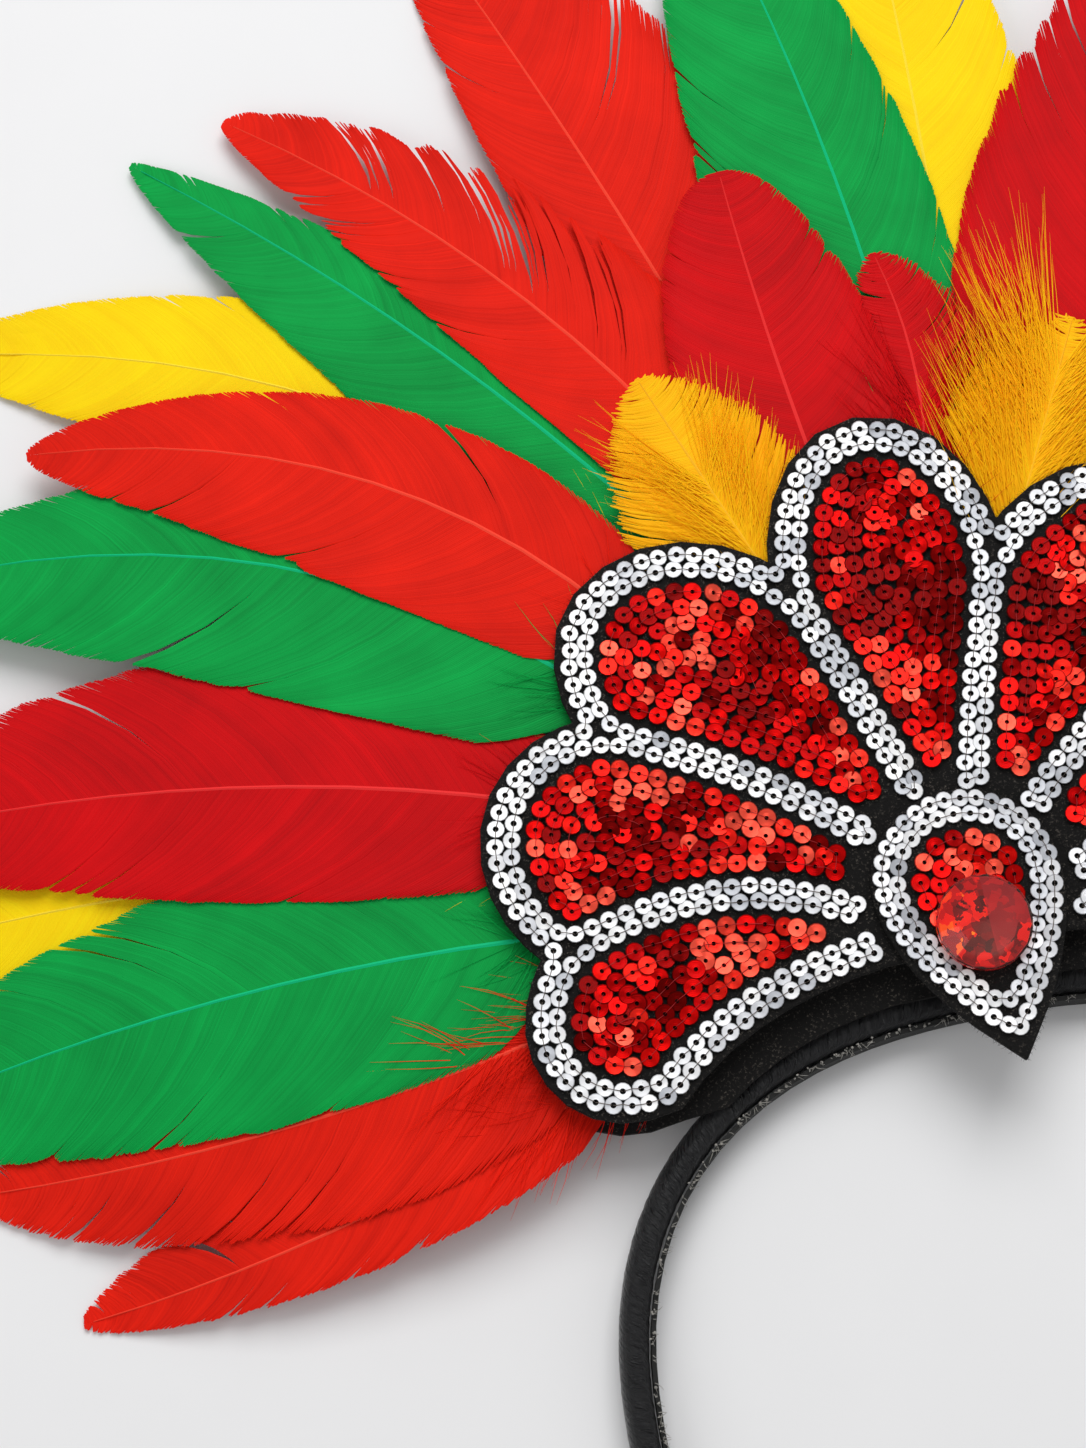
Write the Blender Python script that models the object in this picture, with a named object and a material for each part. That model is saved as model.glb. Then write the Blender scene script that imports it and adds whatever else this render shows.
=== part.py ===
"""Carnival feather headdress, lying on its back with its front up.

A horseshoe headband stands on its edge. On its upper edge lies a fan of two felt
layers with seven rounded lobes, each filled with red sequins and bordered with
silver ones. A teardrop plaque with a faceted stone covers the middle of the fan.
Feathers in four colours fan out from between the two felts and droop to the table.

Metres, +Z up, +Y towards the feathers at the top. The origin is the middle of the
band's lower edge at its apex.
"""
import math
import random

import bmesh
import bpy

# Clearance between pieces that lie on each other
GAP = 0.0003

# Headband: its inner line is half a superellipse with two legs that close in below it
HEAD_HALF_WIDTH = 0.0685
CROWN_HEIGHT = 0.062
CROWN_FULLNESS = 2.45
LEG_DROP = 0.058
LEG_CLOSE = 0.014
BAND_THICK = 0.005
BAND_WIDTH = 0.008
BAND_ROUND = 0.0013
LINING_THICK = 0.0008
LINING_WIDTH = 0.0056
LINING_RISE = 0.0006
CROWN_STEPS = 40
LEG_STEPS = 8

# Fan: lobes round a centre that lies above the band's outer face
FAN_RISE = 0.0150
FAN_REACH = 0.080
RIM_STEPS = 14
DIVIDE_STEPS = 6
BORDER_RISE = 0.008
INSET_SHARE = 0.97

# Felt layers and what is sewn on them
BACK_FELT_THICK = 0.0015
FRONT_FELT_THICK = 0.0015
BACK_FELT_MARGIN = 0.0050
FRONT_FELT_MARGIN = 0.0038
BAND_LAP = 0.0015
CORE_REACH = 0.050
CORE_INSET = 0.0030
CORE_STEPS = 16
TRIM_HALF = 0.0028
TRIM_THICK = 0.0010
FIELD_INSET = 0.0040
FIELD_THICK = 0.0012
FIELD_ROUND = 0.0004
FIELD_CLEAR = 0.0070

# Teardrop plaque, turned a little on the fan
PLAQUE_HALF_WIDTH = 0.0130
PLAQUE_TOP = 0.0124
PLAQUE_TAIL = 0.0248
PLAQUE_TAPER = 1.75
PLAQUE_TURN = 5.0
PLAQUE_FELT_THICK = 0.0015
PLAQUE_FELT_MARGIN = 0.0030
PLAQUE_TIP_MARGIN = 0.0045
PLAQUE_FIELD_FOOT = 0.0120
HEAD_STEPS = 14
TAIL_STEPS = 7

# Round faceted stone, its back flat
GEM_RADIUS = 0.0080
GEM_DROP = 0.0082
GEM_GIRDLE = 0.0011
GEM_CROWN = 0.0021
GEM_TABLE = 0.0046
GEM_SIDES = 16

# Feathers: a quill end between the felts, then a thin vane
PLUME_REACH = 0.200
VANE_HALF = 0.020
VANE_THICK = 0.00025
QUILL_START = 0.054
QUILL_LENGTH = 0.005
QUILL_TAPER = 0.003
QUILL_HALF = 0.0013
VANE_ROOT_HALF = 0.0016
VANE_TIP_HALF = 0.0006
VANE_OPENING = 0.014
BARB_SLANT = 0.35
LOCK_DEPTH = 0.10
LOCKS = 6
LAYER_SPREAD = 0.8
DROOP_POWER = 1.6
FLOOR_REACH = 0.197
FLOOR_REACH_SIDE = 0.158
SIDE_ANGLE = 106.0

# Lobes from the middle one outwards. Angles are degrees from the fan's axis,
# reaches are shares of FAN_REACH, fullness shapes the rim on either side of the tip.
LOBES = [
    # tip_angle, tip_reach, inner_fullness, outer_fullness
    (0.0, 1.000, 0.85, 0.85),
    (41.0, 0.980, 0.90, 0.80),
    (72.2, 0.970, 0.85, 0.85),
    (101.0, 0.930, 0.85, 0.50),
]

# Lines between lobes, from the notch at the rim to the plaque; bow is a share of FAN_REACH
DIVIDES = [
    # notch_angle, notch_reach, hub_angle, bow
    (17.7, 0.680, 17.0, 0.004),
    (55.6, 0.795, 54.0, 0.026),
    (88.8, 0.830, 100.0, 0.081),
]

# Outer end of the lowest lobe's lower border
CORNER_ANGLE = 113.7
CORNER_REACH = 0.712

# Feathers in the order in which they are laid, lowest first. Angles are degrees from
# the fan's axis, positive to the left; tip is a share of PLUME_REACH, bow a share of
# the feather's length, up and low are shares of VANE_HALF, blunt rounds the tip.
FEATHERS = [
    # name, colour, root_angle, tip_angle, tip, bow, up, low, blunt, both sides
    ("yellow_upper", "yellow", 33.0, 49.2, 1.020, 0.115, 0.80, 0.90, 0.50, True),
    ("yellow_lower", "yellow", 76.0, 81.5, 0.930, 0.040, 0.75, 0.90, 0.60, True),
    ("red_bottom", "red", 105.5, 104.6, 0.815, -0.045, 0.70, 0.40, 0.60, True),
    ("red_back", "red", 9.5, 15.2, 1.050, 0.015, 1.45, 0.75, 0.40, False),
    ("yellow_top", "yellow", -15.5, -8.0, 1.010, 0.020, 1.05, 0.70, 0.45, False),
    ("red_low", "red", 97.0, 95.6, 0.860, -0.040, 0.80, 0.85, 0.55, True),
    ("green_upper", "green", 24.0, 35.4, 0.995, 0.036, 0.45, 0.80, 0.70, True),
    ("green_top", "green", -10.8, 0.6, 1.000, 0.030, 0.75, 1.15, 0.45, False),
    ("red_upper_left", "red", 14.0, 30.3, 0.965, 0.065, 0.88, 0.66, 0.60, False),
    ("red_upper_right", "red", -29.5, -26.8, 0.985, -0.012, 0.80, 1.35, 0.50, False),
    ("green_low", "green", 86.0, 90.5, 0.945, 0.040, 0.95, 1.10, 0.50, True),
    ("red_inner", "red", -4.0, -5.5, 0.575, 0.085, 0.70, 0.60, 0.60, False),
    ("red_side", "red", 66.5, 75.4, 0.935, 0.050, 1.15, 0.95, 0.50, True),
    ("red_front", "red", 5.0, 5.2, 0.680, -0.018, 0.90, 0.90, 0.45, False),
    ("green_side", "green", 52.0, 62.0, 0.965, 0.120, 0.75, 1.10, 0.50, True),
    ("red_shoulder", "red", 41.5, 52.6, 0.895, 0.125, 0.68, 0.92, 0.60, True),
    ("orange_left", "orange", 18.8, 19.5, 0.525, 0.000, 0.75, 0.80, 0.60, False),
    ("orange_right", "orange", -20.3, -24.0, 0.520, 0.000, 0.80, 0.75, 0.60, False),
]
TIP_JITTER = 1.6
REACH_JITTER = 0.015

# Colour, roughness and metallic value of each piece's surface
FINISHES = {
    "black_satin": ((0.012, 0.012, 0.014), 0.42, 0.0),
    "black_lining": ((0.010, 0.010, 0.010), 0.80, 0.0),
    "black_felt": ((0.014, 0.013, 0.012), 0.95, 0.0),
    "red_sequin": ((0.62, 0.015, 0.012), 0.18, 0.35),
    "silver_sequin": ((0.86, 0.87, 0.88), 0.22, 0.60),
    "red_stone": ((0.70, 0.010, 0.006), 0.05, 0.0),
    "red": ((0.72, 0.022, 0.010), 0.60, 0.0),
    "green": ((0.006, 0.330, 0.080), 0.60, 0.0),
    "yellow": ((0.95, 0.620, 0.010), 0.60, 0.0),
    "orange": ((0.95, 0.360, 0.004), 0.60, 0.0),
}


def clear_scene():
    """Remove every object that the new file starts with."""
    for item in list(bpy.data.objects):
        bpy.data.objects.remove(item, do_unlink=True)


def finish_material(name):
    """Principled material with the named finish, made once."""
    material = bpy.data.materials.get(name)
    if material is None:
        colour, roughness, metallic = FINISHES[name]
        material = bpy.data.materials.new(name)
        material.use_nodes = True
        shader = material.node_tree.nodes["Principled BSDF"]
        shader.inputs["Base Color"].default_value = (*colour, 1.0)
        shader.inputs["Roughness"].default_value = roughness
        shader.inputs["Metallic"].default_value = metallic
        material.diffuse_color = (*colour, 1.0)
    return material


def add_object(name, bm, finish, parent=None):
    """Turn a bmesh into a named object with one material."""
    bmesh.ops.recalc_face_normals(bm, faces=bm.faces[:])
    mesh = bpy.data.meshes.new(name)
    bm.to_mesh(mesh)
    bm.free()
    mesh.materials.append(finish_material(finish))
    item = bpy.data.objects.new(name, mesh)
    bpy.context.scene.collection.objects.link(item)
    item.parent = parent
    return item


def add_empty(name, location, turn=0.0, parent=None):
    """Empty that places a group of pieces; turn is in degrees about +Z."""
    item = bpy.data.objects.new(name, None)
    bpy.context.scene.collection.objects.link(item)
    item.location = location
    item.rotation_euler = (0.0, 0.0, math.radians(turn))
    item.parent = parent
    return item


def polar(angle, reach):
    """Point at an angle in degrees from +Y, positive to the left."""
    turn = math.radians(angle)
    return (-math.sin(turn) * reach, math.cos(turn) * reach)


def mirrored(points):
    """The same line on the other side of the axis, in reverse order."""
    return [(-x, y) for x, y in reversed(points)]


def offset_line(points, distances, closed=False):
    """Move a line sideways, to its right for positive distances, with mitred corners."""
    count = len(points)
    moved = []
    for i in range(count):
        before = points[i - 1] if closed or i > 0 else None
        after = points[(i + 1) % count] if closed or i < count - 1 else None
        normals = []
        for start, end in ((before, points[i]), (points[i], after)):
            if start is None or end is None:
                continue
            dx, dy = end[0] - start[0], end[1] - start[1]
            length = math.hypot(dx, dy)
            normals.append((dy / length, -dx / length))
        if len(normals) == 1:
            nx, ny = normals[0]
        else:
            (ax, ay), (bx, by) = normals
            scale = 1.0 / max(0.35, 1.0 + ax * bx + ay * by)
            nx, ny = (ax + bx) * scale, (ay + by) * scale
        moved.append((points[i][0] + nx * distances[i], points[i][1] + ny * distances[i]))
    return moved


def line_distance(point, line):
    """Shortest distance from a point to an open line."""
    x, y = point
    nearest = math.inf
    for (ax, ay), (bx, by) in zip(line, line[1:]):
        dx, dy = bx - ax, by - ay
        share = ((x - ax) * dx + (y - ay) * dy) / (dx * dx + dy * dy)
        share = min(1.0, max(0.0, share))
        nearest = min(nearest, math.hypot(x - ax - share * dx, y - ay - share * dy))
    return nearest


def inset_line(line, inset):
    """Line at an inset to the left of another, without the loops of its tight corners."""
    kept = []
    for point in offset_line(line, [-inset] * len(line)):
        clear = line_distance(point, line) > inset * INSET_SHARE
        apart = not kept or math.dist(point, kept[-1]) > GAP
        if clear and apart:
            kept.append(point)
    return kept


def line_crossing(first, second):
    """Where two open lines cross farthest from the centre, with the segment numbers."""
    best = None
    for i in range(len(first) - 1):
        (ax, ay), (bx, by) = first[i], first[i + 1]
        for j in range(len(second) - 1):
            (cx, cy), (dx, dy) = second[j], second[j + 1]
            across = (bx - ax) * (dy - cy) - (by - ay) * (dx - cx)
            if abs(across) < 1e-16:
                continue
            s = ((cx - ax) * (dy - cy) - (cy - ay) * (dx - cx)) / across
            t = ((cx - ax) * (by - ay) - (cy - ay) * (bx - ax)) / across
            if 0.0 <= s <= 1.0 and 0.0 <= t <= 1.0:
                point = (ax + s * (bx - ax), ay + s * (by - ay))
                reach = math.hypot(*point)
                if best is None or reach > best[0]:
                    best = (reach, i, j, point)
    return best


def inside(point, outline):
    """Whether a point lies inside a closed outline."""
    x, y = point
    hit = False
    for i, (ax, ay) in enumerate(outline):
        bx, by = outline[i - 1]
        if (ay > y) != (by > y) and x < (bx - ax) * (y - ay) / (by - ay) + ax:
            hit = not hit
    return hit


def outlines_meet(first, second):
    """Whether two closed outlines overlap."""
    lows = [min(p[k] for p in first) - max(p[k] for p in second) for k in (0, 1)]
    highs = [min(p[k] for p in second) - max(p[k] for p in first) for k in (0, 1)]
    if max(lows + highs) > 0.0:
        return False
    if any(inside(p, second) for p in first) or any(inside(p, first) for p in second):
        return True
    closed_first = first + first[:1]
    return line_crossing(closed_first, second + second[:1]) is not None


def extrude_faces(bm, faces, height):
    """Lift faces straight up from where they are, and return the lifted ones."""
    lifted = bmesh.ops.extrude_face_region(bm, geom=faces)["geom"]
    corners = [part for part in lifted if isinstance(part, bmesh.types.BMVert)]
    bmesh.ops.translate(bm, verts=corners, vec=(0.0, 0.0, height))
    return [part for part in lifted if isinstance(part, bmesh.types.BMFace)]


def plate(name, outline, low, high, finish, parent, top_round=0.0):
    """Flat plate with a vertical edge, its upper edge rounded by top_round."""
    bm = bmesh.new()
    corners = [bm.verts.new((x, y, low)) for x, y in outline]
    base = bm.faces.new(corners)
    extrude_faces(bm, [base], high - low)
    if top_round > 0.0:
        rim = [edge for edge in bm.edges if all(v.co.z > high - GAP / 10 for v in edge.verts)]
        bmesh.ops.bevel(bm, geom=rim, offset=top_round, segments=1, profile=0.5,
                        affect="EDGES", material=-1)
    bmesh.ops.triangulate(bm, faces=bm.faces[:], ngon_method="BEAUTY")
    return add_object(name, bm, finish, parent)


def ring_plate(name, outer, inner, low, high, finish, parent):
    """Flat ring between two outlines with as many points each."""
    bm = bmesh.new()
    outer_corners = [bm.verts.new((x, y, low)) for x, y in outer]
    inner_corners = [bm.verts.new((x, y, low)) for x, y in inner]
    faces = []
    for i in range(len(outer)):
        corners = (outer_corners[i - 1], outer_corners[i], inner_corners[i], inner_corners[i - 1])
        faces.append(bm.faces.new(corners))
    extrude_faces(bm, faces, high - low)
    return add_object(name, bm, finish, parent)


def loft(name, rings, finish, parent=None, smooth=False):
    """Closed solid through rings of points, with flat ends."""
    bm = bmesh.new()
    rows = [[bm.verts.new(point) for point in ring] for ring in rings]
    count = len(rows[0])
    for row, following in zip(rows, rows[1:]):
        for i in range(count):
            bm.faces.new((row[i - 1], row[i], following[i], following[i - 1]))
    bm.faces.new(list(reversed(rows[0])))
    bm.faces.new(rows[-1])
    item = add_object(name, bm, finish, parent)
    if smooth:
        item.data.shade_smooth()
        item.data.set_sharp_from_angle(angle=math.radians(50.0))
    return item


def crown_line(out):
    """Upper half of the band's line, right to left, out metres outside its inner face."""
    points = []
    for i in range(CROWN_STEPS + 1):
        turn = math.pi * i / CROWN_STEPS
        width = (abs(math.cos(turn)) / (HEAD_HALF_WIDTH + out)) ** CROWN_FULLNESS
        height = (abs(math.sin(turn)) / (CROWN_HEIGHT + out)) ** CROWN_FULLNESS
        reach = (width + height) ** (-1.0 / CROWN_FULLNESS)
        points.append((math.cos(turn) * reach, math.sin(turn) * reach))
    return points


def band_line():
    """The band's inner line from the right leg's end to the left one's, apex at y 0."""
    left = []
    for i in range(1, LEG_STEPS + 1):
        share = i / LEG_STEPS
        left.append((-HEAD_HALF_WIDTH + LEG_CLOSE * share ** 2, -LEG_DROP * share))
    whole = mirrored(left) + crown_line(0.0) + left
    lift = -CROWN_HEIGHT - BAND_THICK / 2
    return [(x, y + lift) for x, y in whole]


def band_outer_height(x):
    """Height of the band's outer face over its apex at x, in the fan's own frame."""
    share = min(1.0, abs(x) / (HEAD_HALF_WIDTH + BAND_THICK))
    rise = (1.0 - share ** CROWN_FULLNESS) ** (1.0 / CROWN_FULLNESS)
    return -FAN_RISE - (CROWN_HEIGHT + BAND_THICK) * (1.0 - rise)


def sweep_band(name, section, finish):
    """Sweep a section (distance out from the inner face, height) along the band."""
    line = band_line()
    columns = []
    for out, height in section:
        moved = offset_line(line, [out] * len(line))
        columns.append([(x, y, height) for x, y in moved])
    return loft(name, list(zip(*columns)), finish, smooth=True)


def build_headband():
    """Band with a flat inner face and a rounded outer one, and the strip inside it."""
    round_in = BAND_ROUND / 2
    belly = BAND_THICK - BAND_ROUND
    section = [
        (0.0, round_in), (round_in, 0.0), (belly - round_in, 0.0),
        (belly, BAND_ROUND / 3), (BAND_THICK - BAND_ROUND / 3, BAND_WIDTH * 0.22),
        (BAND_THICK, BAND_WIDTH / 2), (BAND_THICK - BAND_ROUND / 3, BAND_WIDTH * 0.78),
        (belly, BAND_WIDTH - BAND_ROUND / 3), (belly - round_in, BAND_WIDTH),
        (round_in, BAND_WIDTH), (0.0, BAND_WIDTH - round_in),
    ]
    sweep_band("headband", section, "black_satin")
    near, far = -GAP, -GAP - LINING_THICK
    low, high = LINING_RISE, LINING_RISE + LINING_WIDTH
    strip = [(near, high), (far, high), (far, low), (near, low)]
    sweep_band("headband_lining", strip, "black_lining")


def plaque_line():
    """Middle line of the plaque's silver border, from its tip up the right side."""
    right = []
    for i in range(TAIL_STEPS):
        share = 1.0 - i / TAIL_STEPS
        width = PLAQUE_HALF_WIDTH * (1.0 - share ** PLAQUE_TAPER)
        right.append((width, -PLAQUE_TAIL * share))
    head = []
    for i in range(HEAD_STEPS + 1):
        turn = math.pi * i / HEAD_STEPS
        head.append((PLAQUE_HALF_WIDTH * math.cos(turn), PLAQUE_TOP * math.sin(turn)))
    return right + head + mirrored(right[1:])


def plaque_margins():
    """Felt margin at each point of the plaque's line, widest at the tip."""
    margins = []
    for _, y in plaque_line():
        share = max(0.0, -y / PLAQUE_TAIL)
        margins.append(PLAQUE_FELT_MARGIN + (PLAQUE_TIP_MARGIN - PLAQUE_FELT_MARGIN) * share)
    return margins


def plaque_felt_outline():
    """Outline of the plaque's felt in the plaque's own frame."""
    return offset_line(plaque_line(), plaque_margins(), closed=True)


def turned_plaque():
    """Outline of the plaque's felt in the fan's frame."""
    turn = math.radians(PLAQUE_TURN)
    return [(x * math.cos(turn) - y * math.sin(turn), x * math.sin(turn) + y * math.cos(turn))
            for x, y in plaque_felt_outline()]


def hub_reach(angle):
    """Distance from the fan's centre at which the plaque's felt ends, and its gap."""
    outline = turned_plaque()
    ray = [(0.0, 0.0), polar(angle, FAN_REACH)]
    return line_crossing(ray, outline + outline[:1])[0] + GAP


def border_end():
    """Half width of the plaque's felt, and its gap, where the lower border meets it."""
    middle = band_outer_height(PLAQUE_HALF_WIDTH) + BORDER_RISE
    beside = [abs(x) for x, y in turned_plaque() if abs(y - middle) < 2 * TRIM_HALF]
    return max(beside) + GAP


def divide_line(row, start):
    """Line between two lobes, from its notch to a start away from the plaque."""
    notch_angle, notch_share, hub_angle, bow = row
    notch_reach = notch_share * FAN_REACH
    ax, ay = polar(notch_angle, notch_reach)
    bx, by = polar(hub_angle, hub_reach(hub_angle))
    length = math.hypot(bx - ax, by - ay)
    side = ((ay - by) / length, (bx - ax) / length)
    points = []
    for i in range(DIVIDE_STEPS + 1):
        share = (1.0 - start / length) * i / DIVIDE_STEPS
        swell = 4.0 * bow * FAN_REACH * share * (1.0 - share)
        points.append((ax + (bx - ax) * share + side[0] * swell,
                       ay + (by - ay) * share + side[1] * swell))
    return points


def hub_clearance(row):
    """How far a divide's silver stops short of the plaque so that its corners clear it."""
    plaque = offset_line(turned_plaque(), [GAP] * len(turned_plaque()), closed=True)
    clearance = 0.0
    while True:
        line = divide_line(row, clearance)
        corners = [offset_line(line, [side * TRIM_HALF] * len(line))[-1] for side in (-1.0, 1.0)]
        both = corners + [(-x, y) for x, y in corners]
        if not any(inside(corner, plaque) for corner in both):
            return clearance
        clearance += GAP


def rim_line(index):
    """Rim of a lobe on the left half, from its inner notch to its outer one."""
    tip_angle, tip_share, inner_full, outer_full = LOBES[index]
    if index == 0:
        notch_angle, notch_share = DIVIDES[0][:2]
        starts = (-notch_angle, notch_share)
    else:
        starts = DIVIDES[index - 1][:2]
    if index < len(DIVIDES):
        ends = DIVIDES[index][:2]
    else:
        ends = (CORNER_ANGLE, CORNER_REACH)
    points = []
    for i in range(1, RIM_STEPS):
        share = 0.5 - 0.5 * math.cos(math.pi * i / RIM_STEPS)
        angle = starts[0] + (ends[0] - starts[0]) * share
        notch = starts[1] + (ends[1] - starts[1]) * share
        if angle < tip_angle:
            away = (tip_angle - angle) / (tip_angle - starts[0])
            full = inner_full
        else:
            away = (angle - tip_angle) / (ends[0] - tip_angle)
            full = outer_full
        reach = notch + (tip_share - notch) * (1.0 - away ** 2) ** full
        points.append(polar(angle, reach * FAN_REACH))
    return points


def border_line(start):
    """Lower border of the lowest lobe, from its corner inwards, along the band."""
    corner = polar(CORNER_ANGLE, CORNER_REACH * FAN_REACH)
    points = []
    for i in range(DIVIDE_STEPS + 1):
        x = corner[0] + (-start - corner[0]) * i / DIVIDE_STEPS
        points.append((x, band_outer_height(x) + BORDER_RISE))
    return points


def lobe_side(number, shift):
    """Left side of a lobe, from its notch or corner to shift away from the plaque."""
    if number < len(DIVIDES):
        row = DIVIDES[number]
        return divide_line(row, hub_clearance(row) + shift)
    return border_line(border_end() + shift)


def lobe_outline(index, shift):
    """Open line round a lobe: up its right side, over its rim and down its left side.

    Lobes count from -3 on the right to 3 on the left; shift moves both open ends
    away from the plaque.
    """
    if index < 0:
        return mirrored(lobe_outline(-index, shift))
    right = mirrored(lobe_side(0, shift)) if index == 0 else lobe_side(index - 1, shift)[::-1]
    return right + rim_line(index) + lobe_side(index, shift)


def lobe_numbers():
    """Lobes from the rightmost to the leftmost."""
    last = len(LOBES) - 1
    return range(-last, last + 1)


def fan_outline(margin, border_margin):
    """Line round all lobes at a margin outside their silver lines, open below."""
    lines = []
    for index in lobe_numbers():
        line = lobe_outline(index, 0.0)
        distances = [margin] * len(line)
        last = DIVIDE_STEPS + 1
        if index == lobe_numbers()[-1]:
            distances[-last:] = [border_margin] * last
        if index == lobe_numbers()[0]:
            distances[:last] = [border_margin] * last
        lines.append(offset_line(line, distances))
    joined = []
    start = 0
    for number, line in enumerate(lines):
        if number < len(lines) - 1:
            _, here, there, point = line_crossing(line, lines[number + 1])
            joined += line[start:here + 1] + [point]
            start = there + 1
        else:
            joined += line[start:]
    return joined


def core_outline():
    """Outline of the lower felt's core, which stops short of the feathers' quills."""
    border = border_line(border_end())
    edge = offset_line(border, [FRONT_FELT_MARGIN - CORE_INSET] * len(border))
    left = [point for point in edge if math.hypot(*point) < CORE_REACH]
    last = math.degrees(math.atan2(-left[0][0], left[0][1]))
    steps = [1.0 - 2.0 * i / CORE_STEPS for i in range(CORE_STEPS + 1)]
    arc = [polar(-last * step, CORE_REACH) for step in steps]
    return arc + left + mirrored(left)


def closed_edges(bm, outline, height):
    """Edges of a closed outline at a height."""
    corners = [bm.verts.new((x, y, height)) for x, y in outline]
    return [bm.edges.new((corners[i - 1], corners[i])) for i in range(len(corners))]


def build_back_felt(parent, core_top):
    """Lower felt, glued to the band's edge, with a core that fills in under the upper one."""
    low = BAND_WIDTH + GAP
    bm = bmesh.new()
    core_edges = closed_edges(bm, core_outline(), low)
    core = bmesh.ops.triangle_fill(bm, edges=core_edges, use_beauty=True)["geom"]
    core = [part for part in core if isinstance(part, bmesh.types.BMFace)]
    rim_edges = closed_edges(bm, fan_outline(BACK_FELT_MARGIN, BORDER_RISE + BAND_LAP), low)
    bmesh.ops.triangle_fill(bm, edges=rim_edges + core_edges, use_beauty=True)
    centres = {tuple(round(c, 7) for c in face.calc_center_median()[:2]) for face in core}
    top = extrude_faces(bm, bm.faces[:], BACK_FELT_THICK)
    raised = [face for face in top
              if tuple(round(c, 7) for c in face.calc_center_median()[:2]) in centres]
    bmesh.ops.delete(bm, geom=raised, context="FACES")
    open_edges = [edge for edge in bm.edges if edge.is_boundary]
    walls = bmesh.ops.extrude_edge_only(bm, edges=open_edges)["geom"]
    corners = [part for part in walls if isinstance(part, bmesh.types.BMVert)]
    bmesh.ops.translate(bm, verts=corners, vec=(0.0, 0.0, core_top - low - BACK_FELT_THICK))
    bmesh.ops.triangle_fill(bm, edges=[e for e in bm.edges if e.is_boundary], use_beauty=True)
    return add_object("fan_back_felt", bm, "black_felt", parent)


def feather_line(row):
    """Midrib from root to tip as a list of points and forward directions."""
    _, _, root_angle, tip_angle, tip, bow, _, _, _, _ = row
    ax, ay = polar(root_angle, QUILL_START)
    bx, by = polar(tip_angle, tip * PLUME_REACH)
    length = math.hypot(bx - ax, by - ay)
    ux, uy = (bx - ax) / length, (by - ay) / length
    swell = 2.0 * bow * length
    mx = (ax + bx) / 2 + uy * swell
    my = (ay + by) / 2 - ux * swell
    return (ax, ay), (mx, my), (bx, by), length


def midrib_point(curve, share):
    """Point and unit direction on a feather's midrib at a share of its length."""
    (ax, ay), (mx, my), (bx, by), _ = curve
    rest = 1.0 - share
    x = rest * rest * ax + 2 * rest * share * mx + share * share * bx
    y = rest * rest * ay + 2 * rest * share * my + share * share * by
    dx = rest * (mx - ax) + share * (bx - mx)
    dy = rest * (my - ay) + share * (by - my)
    size = math.hypot(dx, dy)
    return x, y, dx / size, dy / size


def vane_shares(length):
    """Places of the vane's sections: a notch and a crest for each lock of barbs."""
    start = (QUILL_LENGTH + QUILL_TAPER) / length
    shares = [(start, 0.0)]
    for i in range(LOCKS):
        low = start + (1.0 - start) * (i + 0.15) / LOCKS
        high = start + (1.0 - start) * (i + 0.80) / LOCKS
        shares.append((low, LOCK_DEPTH if i else 0.0))
        shares.append((high, 0.0))
    shares.append((1.0, 0.0))
    return shares


def vane_sections(row, seed):
    """Sections across a feather's vane: left edge, midrib and right edge in plan."""
    curve = feather_line(row)
    length = curve[3]
    up, low, blunt = row[6] * VANE_HALF, row[7] * VANE_HALF, row[8]
    chance = random.Random(seed)
    start = (QUILL_LENGTH + QUILL_TAPER) / length
    sections = []
    for share, notch in vane_shares(length):
        x, y, dx, dy = midrib_point(curve, share)
        form = max(0.0, math.sin(math.pi * min(1.0, share ** 0.85))) ** blunt
        opening = min(1.0, (share - start) * length / VANE_OPENING)
        edges = []
        for half, side in ((low, -1.0), (up, 1.0)):
            depth = notch * chance.uniform(0.4, 1.6)
            stem = VANE_ROOT_HALF + (VANE_TIP_HALF - VANE_ROOT_HALF) * share
            width = stem + half * form * opening * (1.0 - depth)
            forward = BARB_SLANT * width * (1.0 - share) * opening
            edges.append((x + side * dy * width + dx * forward,
                          y - side * dx * width + dy * forward))
        sections.append((edges[0], (x, y), edges[1]))
    return sections


def plan_outline(sections):
    """Closed outline of a feather in plan, from its sections."""
    return [s[2] for s in sections] + [s[0] for s in reversed(sections)]


def feather_rows():
    """Every feather with its full name, both sides of the mirrored ones, in laying order."""
    rows = []
    for number, row in enumerate(FEATHERS):
        name, both = row[0], row[9]
        if not both:
            rows.append(row)
            continue
        chance = random.Random(number)
        rows.append((name + "_left", *row[1:]))
        turn = chance.uniform(-TIP_JITTER, TIP_JITTER)
        tip = row[4] * (1.0 + chance.uniform(-REACH_JITTER, REACH_JITTER))
        root, bow, up, low = -row[2], -row[5], row[7], row[6]
        rows.append((name + "_right", row[1], root, -row[3] + turn, tip, bow, up, low, *row[8:]))
    return rows


def lay_feathers():
    """Plan of each feather and the layer that it lies in, above all that it crosses."""
    laid = []
    for seed, row in enumerate(feather_rows()):
        sections = vane_sections(row, seed)
        outline = plan_outline(sections)
        below = [layer for _, _, other, layer in laid if outlines_meet(outline, other)]
        laid.append((row, sections, outline, max(below) + 1 if below else 0))
    return laid


def layer_pitch():
    """Height from one layer of feathers to the next between the felts."""
    return VANE_THICK + GAP


def stack_floor():
    """Height at which the lowest feathers lie on the lower felt."""
    return BAND_WIDTH + GAP + BACK_FELT_THICK + GAP


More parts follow.
